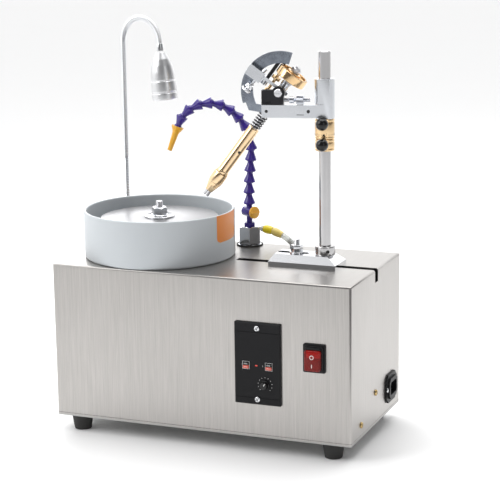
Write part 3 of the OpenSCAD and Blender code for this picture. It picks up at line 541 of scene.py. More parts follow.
class Model:
    """One piece, shaped in a local frame in millimetres."""

    def __init__(self) -> None:
        """Starts with nothing."""
        self.bm = bmesh.new()

    def _settle(self, before: set, at: Matrix | None) -> list:
        """Moves what was added since before, and returns its vertices."""
        added = [v for v in self.bm.verts if v not in before]
        if at is not None:
            bmesh.ops.transform(self.bm, matrix=at, verts=added)
        return added

    def lathe(self, profile: Outline, steps: int = 64, closed: bool = False,
              at: Matrix | None = None) -> list:
        """Spins a profile of (radius, height) points about z.

        Args:
            profile: the points, from axis to axis, or a ring's section.
            steps: the number of flats round.
            closed: whether the profile is a ring's section.
            at: where the shape goes.

        Returns:
            The new vertices.
        """
        before = set(self.bm.verts)
        line = [self.bm.verts.new((radius, 0.0, height)) for radius, height in profile]
        follow = line[1:] + line[:1] if closed else line[1:]
        edges = [self.bm.edges.new(pair) for pair in zip(line, follow)]
        bmesh.ops.spin(self.bm, geom=line + edges, cent=(0, 0, 0), axis=UP,
                       angle=math.tau, steps=steps, use_merge=True)
        added = [v for v in self.bm.verts if v not in before]
        bmesh.ops.remove_doubles(self.bm, verts=added, dist=0.0005)
        return self._settle(before, at)

    def hoop(self, section: Outline, edge: float, corner: int, steps: int,
             at: Matrix | None = None) -> list:
        """Turns a ring from its section.

        Args:
            section: the section's (radius, height) points.
            edge: how far from each corner its rounding starts.
            corner: the pieces in each rounding.
            steps: the number of flats round.
            at: where the ring goes.

        Returns:
            The new vertices.
        """
        return self.lathe(soften(section, edge, corner, True), steps, True, at)

    def circle(self, radius: float, count: int, x: float, z: float = 0.0) -> list:
        """The vertices of a circle that stands about (x, 0, z)."""
        angles = [math.tau * k / count for k in range(count)]
        return [self.bm.verts.new((x + radius * math.cos(a), 0, z + radius * math.sin(a)))
                for a in angles]

    def rod(self, radius: float, low: float, high: float, edge: float = 0.3,
            steps: int = 40, at: Matrix | None = None) -> list:
        """A round rod between two heights, with its ends rounded."""
        return self.lathe(soften([(0, low), (radius, low), (radius, high), (0, high)], edge),
                          steps, at=at)

    def prism(self, outline: Outline, low: float, high: float, edge: float = 0.0,
              at: Matrix | None = None) -> list:
        """Extrudes an outline between two heights.

        Args:
            outline: its (x, y) points.
            low: the lower height.
            high: the upper height.
            edge: the width of the rounding on its edges.
            at: where the shape goes.

        Returns:
            The new vertices.
        """
        before = set(self.bm.verts)
        face = self.bm.faces.new([self.bm.verts.new((x, y, low)) for x, y in outline])
        made = bmesh.ops.extrude_face_region(self.bm, geom=[face])
        top = [v for v in made["geom"] if isinstance(v, bmesh.types.BMVert)]
        bmesh.ops.translate(self.bm, vec=(0, 0, high - low), verts=top)
        added = [v for v in self.bm.verts if v not in before]
        if edge > 0:
            sharp = {e for v in added for e in v.link_edges
                     if len(e.link_faces) == 2 and e.calc_face_angle(0.0) > math.radians(25)}
            bmesh.ops.bevel(self.bm, geom=list(sharp), offset=edge, offset_type="OFFSET",
                            segments=3, profile=0.5, affect="EDGES", material=-1,
                            clamp_overlap=True)
        return self._settle(before, at)

    def block(self, size: tuple[float, float, float], edge: float = 0.0,
              at: Matrix | None = None) -> list:
        """A box about the local origin, with rounded edges."""
        x, y, z = (side / 2 for side in size)
        return self.prism([(-x, -y), (x, -y), (x, y), (-x, y)], -z, z, edge, at)

    def flute(self, verts: Iterable, count: int, depth: float, inner: float,
              low: float, high: float) -> None:
        """Cuts even grooves into a turned rim.

        Args:
            verts: the vertices of the turned shape, still about z.
            count: the number of grooves.
            depth: their depth.
            inner: the radius below which nothing moves.
            low: the lowest height that moves.
            high: the highest height that moves.
        """
        for v in verts:
            radius = math.hypot(v.co.x, v.co.y)
            if radius > inner and low <= v.co.z <= high:
                wave = 0.5 - 0.5 * math.cos(count * math.atan2(v.co.y, v.co.x))
                factor = 1 - depth * wave / radius
                v.co.x *= factor
                v.co.y *= factor

    def copy_of(self, node: str) -> None:
        """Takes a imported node's mesh, merged, in metres."""
        self.bm.from_mesh(frame["nodes"][node].data)
        bmesh.ops.remove_doubles(self.bm, verts=self.bm.verts, dist=0.000002)
        bmesh.ops.dissolve_limit(self.bm, angle_limit=math.radians(0.6),
                                 verts=self.bm.verts, edges=self.bm.edges)

    def finish(self, name: str, material: bpy.types.Material, body: "Body | str",
               at: Matrix | None = None, node: str | Sequence[str] = (), slot: str = "",
               smooth: float = 38.0, edge: float = 0.0) -> bpy.types.Object:
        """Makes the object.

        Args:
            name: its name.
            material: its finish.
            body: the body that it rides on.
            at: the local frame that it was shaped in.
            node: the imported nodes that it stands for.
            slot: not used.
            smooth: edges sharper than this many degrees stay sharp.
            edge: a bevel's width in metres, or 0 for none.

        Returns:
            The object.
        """
        if at is not None:
            bmesh.ops.transform(self.bm, matrix=at, verts=self.bm.verts)
            bmesh.ops.recalc_face_normals(self.bm, faces=self.bm.faces)
        mesh = bpy.data.meshes.new(name)
        self.bm.to_mesh(mesh)
        self.bm.free()
        mesh.materials.append(material)
        mesh.shade_smooth()
        mesh.set_sharp_from_angle(angle=math.radians(smooth))
        piece = bpy.data.objects.new(name, mesh)
        bpy.context.scene.collection.objects.link(piece)
        if edge > 0:
            bevel = piece.modifiers.new("edges", "BEVEL")
            bevel.width = edge
            bevel.segments = 3
            bevel.limit_method = "ANGLE"
            bevel.angle_limit = math.radians(38)
            bevel.use_clamp_overlap = True
            bevel.harden_normals = True
        rider = body.value if isinstance(body, Body) else body
        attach(piece, rider)
        if node:
            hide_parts(*([node] if isinstance(node, str) else node))
        LOG.info("%s rides on %s", name, rider)
        return piece


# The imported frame's own places

class Places:
    """Local frames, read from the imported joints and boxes."""

    def __init__(self) -> None:
        """Reads the joints."""
        self.joints = {j["name"]: j for j in frame["record"]["behaviour"]["joints"]}
        self.front_y = -Vector(self.axis("quill_tilt"))
        self.spindle = place(self.point("spindle_spin")[:2] + (0.0,))
        self.quill = place(self.point("quill_spin"), self.axis("quill_spin"), self.front_y)
        self.arm = place(self.point("arm_swing")[:2] + (0.0,), UP, self.front_y)
        self.pivot = place(self.point("quill_tilt"), UP, self.front_y)
        self.mast = place(self.point("arm_swing")[:2] + (0.0,))
        self.clamp = place(self.point("clamp_nut_turn")[:2] + (0.0,))
        self.stand = place(self.point("line_swivel")[:2] + (0.0,))
        self.valve = place(self.point("valve_turn"), self.axis("valve_turn"))
        self.lamp = place(self.point("lamp_swivel")[:2] + (0.0,), UP, self.axis("neck_flex"))

    def point(self, joint: str) -> tuple[float, ...]:
        """Where a joint is."""
        return tuple(self.joints[joint]["pos_m"])

    def axis(self, joint: str) -> tuple[float, ...]:
        """The direction of a joint's axis."""
        return tuple(self.joints[joint]["axis"])

    def front(self, node: str) -> Matrix:
        """A frame on the case's front at a node's middle: x right, y up, z out."""
        low, high = (Vector(corner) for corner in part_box(node))
        middle = (low + high) / 2
        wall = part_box("case_shell")[0][1]
        return place((middle.x, wall, middle.z), (0, -1, 0), UP)

    def knob(self, joint: str) -> Matrix:
        """A frame on a turning knob's axis."""
        return place(self.point(joint), self.axis(joint))


class Body(Enum):
    """The bodies that new pieces ride on most."""

    CASE = "case"
    SPINDLE = "spindle"
    CARRIAGE = "carriage"
    ARM = "arm"
    SWING = "swing"
    QUILL = "quill"


@dataclass
class Assembly:
    """A group of pieces that are made together.

    Args:
        finishes: every finish.
        places: every local frame.
    """

    finishes: Finishes
    places: Places

    def copy(self, node: str, material: str, body: Body | str, edge: float = 0.0,
             smooth: float = 32.0) -> bpy.types.Object:
        """Replaces a node with its own shape, merged, smoothed and with softened edges.

        Args:
            node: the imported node.
            material: its finish.
            body: the body that it rides on.
            edge: the bevel's width in metres.
            smooth: edges sharper than this many degrees stay sharp.

        Returns:
            The object.
        """
        model = Model()
        model.copy_of(node)
        return model.finish(node + "_finished", self.finishes[material], body, node=node,
                            edge=edge, smooth=smooth)

    def copies(self, *rows: tuple) -> None:
        """Replaces several nodes, each from one row of the arguments of copy."""
        for row in rows:
            self.copy(*row)

    def paint(self, node: str, material: str) -> None:
        """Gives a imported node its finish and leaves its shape."""
        for entry in frame["nodes"][node].material_slots:
            entry.material = self.finishes[material]
        LOG.info("%s keeps its shape", node)

    def add(self, model: Model, name: str, material: str, body: Body | str, at: Matrix,
            **more: object) -> bpy.types.Object:
        """Finishes a model with one of the finishes."""
        return model.finish(name, self.finishes[material], body, at, **more)


# Case

@dataclass
class Case(Assembly):
    """The sheet case, its feet, its screws and what it hides."""

    seam_low: float = 1.8
    seam_tall: float = 0.5
    seam_deep: float = 0.6
    cross: tuple[float, float] = (0.9, 0.12)
    panel_screw_y: float = 45.0
    side_screws: tuple[tuple[float, float], ...] = ((-65.0, 36.6), (-7.0, 61.5))
    side_screw_proud: float = 2.14

    def make(self) -> None:
        """Builds the case."""
        self.copies(("case_shell", "stainless", Body.CASE, 0.0, 40.0),
                    ("bottom_plate", "sheet_steel", Body.CASE),
                    ("rubber_feet", "black_rubber", Body.CASE, 0.0004))
        self.screws()
        for node, material in (("motor_housing", "motor_paint"), ("stator", "copper_windings"),
                               ("rotor", "rotor_steel"), ("bearings", "bearing_steel"),
                               ("inverter_box", "inverter_case"),
                               ("control_board", "circuit_board")):
            self.paint(node, material)
        self.bottom_seam_shade()

    def screws(self) -> None:
        """The screws, each with its cross recess painted as a thin dark cross of shade."""
        screws = self.copy("case_screws", "zinc_screws", Body.CASE, 0.0003, 50.0)
        screws.data.materials.append(self.finishes["brass_screws"])
        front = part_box("case_shell")[0][1] * 0.97
        for face in screws.data.polygons:
            face.material_index = int(face.center.y > front)
        proud = (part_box("case_shell")[0][1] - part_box("case_screws")[0][1]) / MM
        # Painted shade: a thin dark cross on each panel screw head stands for the shade in its
        # recess.
        model = Model()
        for y in (-self.panel_screw_y, self.panel_screw_y):
            self.recess(model, 4.2, 25.0, move(0, y, proud))
        self.add(model, "panel_screw_recess_shade", "dark_mark_and_shade", Body.CASE,
                 self.places.front("panel_bezel"))
        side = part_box("case_shell")[1][0]
        # Painted shade: the same dark crosses on the side screws' heads.
        model = Model()
        for y, z in self.side_screws:
            self.recess(model, 4.6, 45.0, place((side, y * MM, z * MM), (1, 0, 0), UP)
                        @ move(0, 0, self.side_screw_proud))
        model.finish("side_screw_recess_shade", self.finishes["dark_mark_and_shade"], Body.CASE)

    def recess(self, model: Model, length: float, angle: float, at: Matrix) -> None:
        """One screw's cross recess, drawn as a thin dark cross of painted shade."""
        for across in (0.0, 90.0):
            model.block((length, *self.cross), 0.03, at @ turn(angle + across))

    def bottom_seam_shade(self) -> None:
        """A thin dark band of painted shade in the folded seam along the bottom of the front and
        the sides.
        """
        low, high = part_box("case_shell")
        model = Model()
        width, depth = (high[0] - low[0]) / MM, (high[1] - low[1]) / MM
        centre = Vector(((low[0] + high[0]) / 2, (low[1] + high[1]) / 2, low[2]))
        outline = soften([(-width / 2, -depth / 2), (width / 2, -depth / 2),
                          (width / 2, depth / 2), (-width / 2, depth / 2)], 3.0, 5, True)
        inner = [(x * (1 - self.seam_deep / width), y * (1 - self.seam_deep / depth))
                 for x, y in outline]
        count = len(outline)
        for index in range(count):
            after = (index + 1) % count
            corners = (outline[index], outline[after], inner[after], inner[index])
            verts, lifted = ([model.bm.verts.new((x, y, z)) for x, y in corners]
                             for z in (self.seam_low, self.seam_low + self.seam_tall))
            ring = [model.bm.edges.new((a, b)) for a, b in
                    zip(verts + lifted, verts[1:] + verts[:1] + lifted[1:] + lifted[:1])]
            bmesh.ops.bridge_loops(model.bm, edges=ring)
        bmesh.ops.remove_doubles(model.bm, verts=model.bm.verts, dist=0.001)
        # Painted shade: the dark band stands for the shade inside the seam's fold.
        self.add(model, "bottom_seam_shade", "dark_mark_and_shade", Body.CASE, place(centre))


# Controls

@dataclass
class Controls(Assembly):
    """The panel, the mains switch and the power inlet."""

    dial_ticks: int = 11
    dial_r: float = 9.2
    button_w: float = 7.4
    button_h: float = 8.0

    def make(self) -> None:
        """Builds the controls."""
        self.copy("panel_bezel", "black_panel", Body.CASE, 0.0005)
        self.dial()
        for node in ("run_button", "fwd_button"):
            self.button(node)
        self.mains_switch()
        self.inlet()

    def face(self, node: str) -> Matrix:
        """A frame on the panel's face at a node's middle."""
        proud = (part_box("case_shell")[0][1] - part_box("panel_bezel")[0][1]) / MM
        return self.places.front(node) @ move(0, 0, proud)

    def dial(self) -> None:
        """The speed knob and the marks round it."""
        at = self.face("speed_knob")
        model = Model()
        made = model.lathe(soften([(0, 0.3), (5.8, 0.3), (5.8, 1.5), (5.1, 2.2), (4.7, 6.8),
                                   (4.1, 7.6), (0, 7.6)], 0.5), 144)
        model.flute(made, 18, 0.35, 4.0, 2.3, 7.2)
        model.rod(3.0, -12.9, 0.4, 0.2)
        self.add(model, "speed_knob_cap", "black_knob", "speed_knob", at, node="speed_knob")
        pointer = Model()
        pointer.block((0.8, 3.4, 0.2), 0.05, turn(-38) @ move(0, 2.6, 7.62))
        self.add(pointer, "speed_knob_pointer", "white_print", "speed_knob", at)
        marks = Model()
        for index in range(self.dial_ticks):
            angle = 135 - 270 * index / (self.dial_ticks - 1)
            marks.lathe([(0, 0), (0.42, 0), (0.42, 0.08), (0, 0.08)], 12,
                        at=turn(angle) @ move(0, self.dial_r, 0))
        for x in (-11.2, -2.8):
            marks.block((0.35, 2.0, 0.08), at=move(x, 23.5, 0.03))
        self.add(marks, "dial_marks", "white_print", Body.CASE, at)
        lamp = Model()
        lamp.block((3.0, 1.5, 0.5), 0.2, move(-11.2, 23.5, 0.1))
        self.add(lamp, "power_lamp", "red_lamp", Body.CASE, at)

    def button(self, node: str) -> None:
        """A square button: a dark upper half, a salmon lower half and a printed rim."""
        at = self.face(node)
        width, height = self.button_w, self.button_h
        half = height / 2
        model = Model()
        model.block((width, half - 0.1, 5.2), 0.3, move(0, -half / 2 - 0.05, -1.4))
        model.block((width - 0.2, height - 0.2, 4.6), 0.3, move(0, 0, -1.7))
        model.rod(2.0, -14.4, -3.6, 0.2)
        self.add(model, node + "_cap", "salmon_button", node, at, node=node)
        dark = Model()
        dark.block((width, half - 0.1, 5.2), 0.3, move(0, half / 2 + 0.05, -1.4))
        self.add(dark, node + "_dark_half", "black_knob", node, at)
        marks = Model()
        for x in (-1.6, 0.0, 1.6):
            marks.block((0.5, 1.6, 0.06), at=move(x, half / 2, 1.2))
        marks.block((4.6, 0.35, 0.06), at=move(0, -half / 2, 1.2))
        self.add(marks, node + "_marks", "white_print", node, at)
        rim = Model()
        for side in (1, -1):
            rim.block((width + 2.0, 0.35, 0.08), at=move(0, side * (half + 0.75), 0.03))
            rim.block((0.35, height + 1.8, 0.08), at=move(side * (width / 2 + 0.85), 0, 0.03))
        self.add(rim, node + "_rim", "white_print", Body.CASE, at)

    def mains_switch(self) -> None:
        """The rocker under its clear red boot."""
        self.copies(("switch_frame", "black_plastic", Body.CASE, 0.0005),
                    ("switch_rocker", "red_rocker", "rocker", 0.0004))
        at = self.places.front("switch_frame")
        boot = Model()
        boot.prism(soften([(-10.2, -14.3), (10.2, -14.3), (10.2, 11.6), (-10.2, 11.6)],
                          3.0, 5, True), 3.2, 11.7, 2.4)
        self.add(boot, "switch_boot_skin", "red_boot", Body.CASE, at, node="switch_boot")
        flange = Model()
        flange.prism(soften([(-12.4, -16.1), (12.4, -16.1), (12.4, 16.1), (-12.4, 16.1)],
                            3.0, 5, True), 2.55, 5.2, 0.9)
        flange.prism(soften([(-9.6, 11.9), (9.6, 11.9), (9.6, 14.6), (-9.6, 14.6)],
                            1.0, 3, True), 4.6, 8.6, 0.8)
        self.add(flange, "switch_boot_flange", "black_plastic", Body.CASE, at)
        marks = Model()
        marks.lathe([(1.9, 0), (2.7, 0), (2.7, 0.12), (1.9, 0.12)], 40, True,
                    move(0, 3.6, 11.68))
        marks.block((0.9, 4.4, 0.12), 0.02, move(0, -7.4, 11.74))
        self.add(marks, "switch_marks", "white_print", Body.CASE, at)

    def inlet(self) -> None:
        """The power inlet, its pins and its screws."""
        self.copy("inlet_body", "black_plastic", Body.CASE, 0.0005)
        low, high = (Vector(corner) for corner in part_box("inlet_body"))
        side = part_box("case_shell")[1][0]
        at = place((side, (low.y + high.y) / 2, (low.z + high.z) / 2), (1, 0, 0), UP)
        screws = Model()
        for x in (-19.0, 19.0):
            screws.lathe(soften([(0, 2.5), (3.0, 2.5), (3.0, 3.1), (1.8, 4.0), (0, 4.0)], 0.4),
                         32, at=move(x, 0, 0))
            screws.rod(1.5, -6.0, 2.6, at=move(x, 0, 0))
        self.add(screws, "inlet_screws", "zinc_screws", Body.CASE, at)
        pins = Model()
        for x, y in ((-7.0, -2.0), (7.0, -2.0), (0.0, 2.0)):
            pins.block((2.2, 5.2, 15.2), 0.4, move(x, y, -9.4))
        self.add(pins, "inlet_pins", "zinc_screws", Body.CASE, at)
        fuse = Model()
        fuse.block((5.0, 2.6, 0.5), 0.2, move(0, 11.0, 4.72))
        self.add(fuse, "inlet_window", "red_lamp", Body.CASE, at)


# Pan, spindle and lap

@dataclass
class LapUnit(Assembly):
    """The drip pan, the lap and the spindle's clamp."""

    pan_r: float = 97.5
    wall: float = 3.5
    lap_r: float = 76.0
    pan_base: float = 220.0
    pan_top: float = 281.0
    label_angle: float = -2.6
    label_span: float = 15.3
    label_lift: float = 0.12

    def make(self) -> None:
        """Builds the pan and what turns in it."""
        self.pan()
        self.label()
        self.lap()
        self.spindle()

    def pan(self) -> None:
        """The turned pan with its drain spout, and a dark disc of painted shade where the drain
        hole is.
        """
        r, t, low, high = self.pan_r, self.wall, self.pan_base, self.pan_top
        model = Model()
        model.hoop([(12.2, low + 0.02), (r - 2, low + 0.02), (r, low + 2), (r, high - 1),
                    (r - 1, high), (r - t + 1, high), (r - t, high - 1), (r - t, low + t + 3),
                    (r - t - 3, low + t), (16, low + t), (16, low + 22), (12.2, low + 22)],
                   1.2, 4, 192)
        spout = [(4, 0), (6.5, 0), (6.5, 6), (5.5, 6), (5.5, 9), (6, 9.2), (5.2, 15), (4, 15)]
        model.hoop(spout, 0.4, 2, 32, move(0, r - 2, low + 9) @ turn(-90, "X"))
        self.add(model, "drip_pan_turned", "grey_pan", Body.CASE, self.places.spindle,
                 node="drip_pan")
        # Painted shade: a thin dark disc on the inner wall stands for the shade in the drain
        # hole.
        hole = Model()
        hole.rod(3.9, 0, 0.3, 0.1, at=move(0, r - t - 0.4, low + 9) @ turn(-90, "X"))
        self.add(hole, "drain_hole_shade", "dark_mark_and_shade", Body.CASE, self.places.spindle)

    def label(self) -> None:
        """A blank label round the pan's rim, with rounded lower corners."""
        model = Model()
        high, tall, corner = self.pan_top - 0.2, 35.0, 6.0
        grid = bmesh.ops.create_grid(model.bm, x_segments=20, y_segments=14, size=0.5)
        radius = self.pan_r + self.label_lift
        for v in grid["verts"]:
            across, down = v.co.x, v.co.y
            z = high - tall * (0.5 - down)
            drop = max(0.0, corner - (z - high + tall)) / corner
            narrow = (1 - math.sqrt(max(0.0, 1 - drop * drop))) * corner
            half = math.radians(self.label_span) - narrow / self.pan_r
            angle = math.radians(self.label_angle) + 2 * across * half
            v.co = (radius * math.cos(angle), radius * math.sin(angle), z)
        self.add(model, "pan_label", "orange_label", Body.CASE, self.places.spindle)

    def lap(self) -> None:
        """The platen and the lap disc."""
        face = heights("lap_disc")[1]
        self.copy("lap_platen", "aluminium", Body.SPINDLE, 0.0004)
        model = Model()
        model.hoop([(5.02, face - 1.5), (self.lap_r, face - 1.5), (self.lap_r, face),
                    (5.02, face)], 0.3, 2, 160)
        self.add(model, "lap_disc_faced", "lap_grey", Body.SPINDLE, self.places.spindle,
                 node="lap_disc")

    def spindle(self) -> None:
        """The spindle with its threaded stud, the washer and the nut."""
        face = heights("lap_disc")[1]
        low, high = heights("spindle")
        model = Model()
        thread = ribbed(4.6, face + 12.7, high - 0.8, 1.25, 0.4)
        model.lathe([(0, low), (7.6, low), (8, low + 0.4), (8, face - 9.5), (5, face - 9.5),
                     (5, face + 12.5), *thread, (3.8, high), (0, high)], 48)
        self.add(model, "spindle_threaded", "ground_steel", Body.SPINDLE,
                 self.places.spindle, node="spindle")
        washer = Model()
        washer.hoop([(5.02, face + 0.02), (19.5, face + 0.02), (19.5, face + 1.5),
                     (18.8, face + 2), (12, face + 2.4), (11, face + 3.2),
                     (5.02, face + 3.2)], 0.4, 3, 96)
        self.add(washer, "spindle_washer_turned", "chrome", Body.SPINDLE,
                 self.places.spindle, node="spindle_washer")
        self.copy("spindle_nut", "chrome", Body.SPINDLE, 0.0003)


# Carriage, mast and collars

@dataclass
class Carriage(Assembly):
    """The sliding plate with its clamp, the mast and the two collars."""

    mast_r: float = 7.5
    collar_r: float = 12.2

    def make(self) -> None:
        """Builds the carriage."""
        self.copy("carriage_plate", "chrome", Body.CARRIAGE, 0.0006)
        self.clamp()
        self.mast()
        for name in ("lower", "upper"):
            self.collar(name)
            self.knob(name)

    def clamp(self) -> None:
        """The square-headed bolt and its nut and washer."""
        low, high = (Vector(corner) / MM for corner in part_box("clamp_bolt"))
        model = Model()
        model.block((22, 22, 5), 0.4, move(0, 0, low.z + 2.5))
        model.lathe([(0, low.z + 5), *ribbed(4.0, low.z + 5, high.z - 0.4, 1.25, 0.4),
                     (3.2, high.z), (0, high.z)], 40)
        self.add(model, "clamp_bolt_threaded", "zinc_screws", Body.CARRIAGE,
                 self.places.clamp, node="clamp_bolt")
        base = heights("clamp_nut")[0]
        nut = Model()
        nut.hoop([(4.05, base), (9.5, base), (9.5, base + 1.8), (4.05, base + 1.8)], 0.4, 3, 64)
        nut.prism(hexagon(7.85, 20), base + 1.8, base + 10.3, 0.6)
        self.add(nut, "clamp_nut_hexagon", "chrome", "clamp_nut", self.places.clamp,
                 node="clamp_nut")

    def mast(self) -> None:
        """The mast with its foot collar and a chamfered top."""
        low, high = heights("mast")
        r = self.mast_r
        profile = soften([(0, low), (r, low), (r, low + 14), (12.2, low + 14),
                          (12.85, low + 15), (12.85, low + 25), (12.2, low + 26),
                          (r, low + 26)], 0.5, 3)
        groove = low + 236
        model = Model()
        model.lathe([*profile, (r, groove), (r - 0.5, groove), (r - 0.5, groove + 1),
                     (r, groove + 1), (r, high - 1), (r - 1, high), (0, high)], 96)
        self.add(model, "mast_turned", "chrome_mast", Body.CARRIAGE, self.places.mast,
                 node="mast")
        screw = Model()
        screw.rod(2.2, 12.2, 12.95, 0.2, at=move(0, 0, low + 20) @ turn(-55) @ turn(90, "Y"))
        self.add(screw, "mast_set_screw", "dark_mark_and_shade", Body.CARRIAGE, self.places.mast)

    def collar(self, name: str) -> None:
        """A brass collar: the upper one with a graduated band, both with turned grooves."""
        node = name + "_collar"
        low, high = heights(node)
        r, bore = self.collar_r, self.mast_r + 0.05
        grooves = []
        for z in (low + 3.2, high - 3.2):
            grooves += [(r, z - 0.6), (r - 0.5, z - 0.3), (r - 0.5, z + 0.3), (r, z + 0.6)]
        profile = [(bore, low), (r - 0.8, low), (r, low + 0.8), *grooves, (r, high - 0.8),
                   (r - 0.8, high), (bore, high)]
        model = Model()
        model.hoop(profile, 0.25, 2, 96)
        self.add(model, node + "_turned", "collar_brass", node, self.places.mast, node=node)
        if name == "upper":
            ticks = Model()
            for index in range(36):
                tall = 3.6 if index % 6 == 0 else 2.2
                ticks.block((0.12, 0.28, tall), at=turn(10 * index)
                            @ move(r, 0, low + 4.4 + tall / 2))
            self.add(ticks, "collar_graduations", "dark_mark_and_shade", node, self.places.mast)

    def knob(self, name: str) -> None:
        """A ball knob on its threaded stem."""
        node = name + "_knob"
        at = self.places.knob(node + "_turn") @ move(0, 0, self.collar_r - 23.2)
        model = Model()
        model.lathe([(0, 3.22), *arc(7.8, -86, 88, 22, 11.0), (0, 18.8)], 48)
        self.add(model, node + "_ball", "black_knob", node, at, node=node)
        stem = Model()
        stem.rod(2.45, -4.0, 4.0, 0.2)
        stem.rod(3.6, 2.0, 4.6, 0.4)
        self.add(stem, node + "_stem", "zinc_screws", node, at)


# The head on the arm

@dataclass
class Head(Assembly):
    """The arm, the quadrant with its stop, and the tilting quill."""

    wheel_r: float = 20.0
    ring_r: float = 49.5
    ring_back: float = -1.4
    scale_marks: int = 51
    scale_start: float = -15.0
    scale_step: float = 2.4
    plunger_x: float = 14.5
    spring_turns: int = 13

    def make(self) -> None:
        """Builds the head."""
        self.copies(("arm", "satin_chrome", Body.ARM, 0.0006),
                    ("pivot_block", "black_anodised", Body.ARM, 0.0005),
                    ("pivot_screw", "chrome", Body.SWING, 0.0003),
                    ("quadrant", "blued_chrome", Body.ARM, 0.0004),
                    ("angle_stop", "satin_chrome", "angle_stop", 0.0006),
                    ("swing_plate", "satin_chrome", Body.SWING, 0.0005),
                    ("index_lever", "black_anodised", Body.SWING, 0.0008),
                    ("quill_shaft", "ground_steel", Body.QUILL, 0.0002),
                    ("collet_nut", "quill_brass", "collet_nut", 0.0004, 25.0))
        self.scale()
        self.adjuster()
        self.stop_screw()
        self.plunger()
        self.spring()
        self.tube()
        self.wheel()

    def scale(self) -> None:
        """The degree marks on both faces of the quadrant."""
        model = Model()
        for index in range(self.scale_marks):
            angle = self.scale_start + self.scale_step * index
            tall = 6.0 if index % 5 == 0 else 3.4
            for y in (self.ring_back + 0.03, self.ring_back - 3.03):
                model.block((tall, 0.08, 0.3), at=turn(-angle, "Y")
                            @ move(self.ring_r - 1.0 - tall / 2, y, 0))
        self.add(model, "quadrant_scale", "dark_mark_and_shade", Body.ARM, self.places.pivot)
        mark = Model()
        mark.block((9.0, 0.1, 0.8), 0.03, move(28, 17.03, 412))
        for x in (18.0, 70.0):
            mark.rod(2.0, 0, 0.12, 0.05, at=move(x, 17.0, 416) @ turn(-90, "X"))
        self.add(mark, "arm_marks", "dark_mark_and_shade", Body.ARM, self.places.arm)

    def adjuster(self) -> None:
        """The adjusting screw with its knurled nut."""
        at = self.places.knob("adjust_turn")
        low = -14.0
        model = Model()
        model.lathe([(0, low), *ribbed(2.4, low + 0.3, low + 32.5, 1.0, 0.3),
                     (1.9, low + 32.9), (0, low + 32.9)], 32)
        model.lathe(soften([(0, low + 20), (4, low + 20), (4, low + 26), (0, low + 26)], 0.5),
                    40)
        self.add(model, "adjust_screw_rod", "rod_chrome", "adjust_screw", at,
                 node="adjust_screw")
        nut = Model()
        made = nut.lathe(soften([(0, low + 8), (5.5, low + 8), (5.5, low + 17),
                                 (0, low + 17)], 0.7), 160)
        nut.flute(made, 40, 0.35, 4.0, low + 8.6, low + 16.4)
        self.add(nut, "adjust_nut_knurled", "rod_chrome", "adjust_screw", at)

    def stop_screw(self) -> None:
        """The stop's thumb screw."""
        at = self.places.knob("stop_screw_turn")
        model = Model()
        model.lathe([(0, -14), *ribbed(2.0, -13.7, 14.0, 0.9, 0.3), (0, 14)], 32)
        made = model.lathe(soften([(0, 14), (5, 14), (5, 19.5), (3, 19.8), (3, 20.8),
                                   (6.5, 21), (6.5, 24), (0, 24)], 0.5), 144)
        model.flute(made, 36, 0.4, 4.2, 14.6, 23.4)
        self.add(model, "stop_screw_knurled", "chrome", "stop_screw", at, node="stop_screw")

    def plunger(self) -> None:
        """The index plunger with its knurled collar."""
        at = self.places.quill @ move(self.plunger_x, 0, 0)
        model = Model()
        model.lathe([(0, -14), (4, -14), (4, -9.4), (3.5, -9), (2, -9), (2, 5.6), (5.6, 5.7),
                     (5.6, 10.1), (2, 10.1), (2, 14.2), (1.2, 15), (0, 15)], 40)
        self.add(model, "index_plunger_pin", "brass", "index_plunger", at,
                 node="index_plunger")
        ring = Model()
        made = ring.hoop([(5.0, 5.7), (5.8, 5.7), (5.8, 10.1), (5.0, 10.1)], 0.2, 2, 128)
        ring.flute(made, 32, 0.35, 5.3, 5.9, 9.9)
        self.add(ring, "index_plunger_knurl", "brass", "index_plunger", at)

    def spring(self) -> None:
        """The coil spring between the swing plate and the tube."""
        steps = self.spring_turns * 24
        model = Model()
        face = model.bm.faces.new(model.circle(0.8, 10, 6.2, -58.1))
        bmesh.ops.spin(model.bm, geom=[face], cent=(0, 0, 0), axis=UP,
                       dvec=(0, 0, 47.9 / steps), angle=math.tau * self.spring_turns,
                       steps=steps)
        self.add(model, "quill_spring_coil", "spring_steel", Body.QUILL,
                 self.places.quill, node="quill_spring", smooth=60.0)

    def tube(self) -> None:
        """The brass tube with a set screw in its side."""
        model = Model()
        model.hoop([(4.02, -130.5), (8.2, -130.5), (8.2, -127.5), (7.2, -126.5),
                    (7.2, -60.6), (6.4, -59.2), (4.02, -59.2)], 0.6, 3, 80)
        self.add(model, "quill_tube_turned", "quill_brass", Body.QUILL,
                 self.places.quill, node="quill_tube")
        screw = Model()
        screw.rod(1.9, 6.4, 7.28, 0.15, at=move(0, 0, -95) @ turn(118) @ turn(90, "Y"))
        self.add(screw, "tube_set_screw", "dark_mark_and_shade", Body.QUILL, self.places.quill)

    def wheel(self) -> None:
        """The index wheel: a knurled rim round a cup, with its rows of index holes painted as
        dark discs of shade.
        """
        r = self.wheel_r
        model = Model()
        made = model.hoop([(4.02, 15.5), (r - 0.6, 15.5), (r, 16.1), (r, 25.9),
                           (r - 0.6, 26.5), (r - 3, 26.5), (r - 3, 23), (9, 23), (9, 27),
                           (4.02, 27)], 0.4, 3, 288)
        model.flute(made, 72, 0.45, r - 0.7, 16.6, 25.4)
        self.add(model, "index_wheel_knurled", "brass", Body.QUILL, self.places.quill,
                 node="index_wheel")
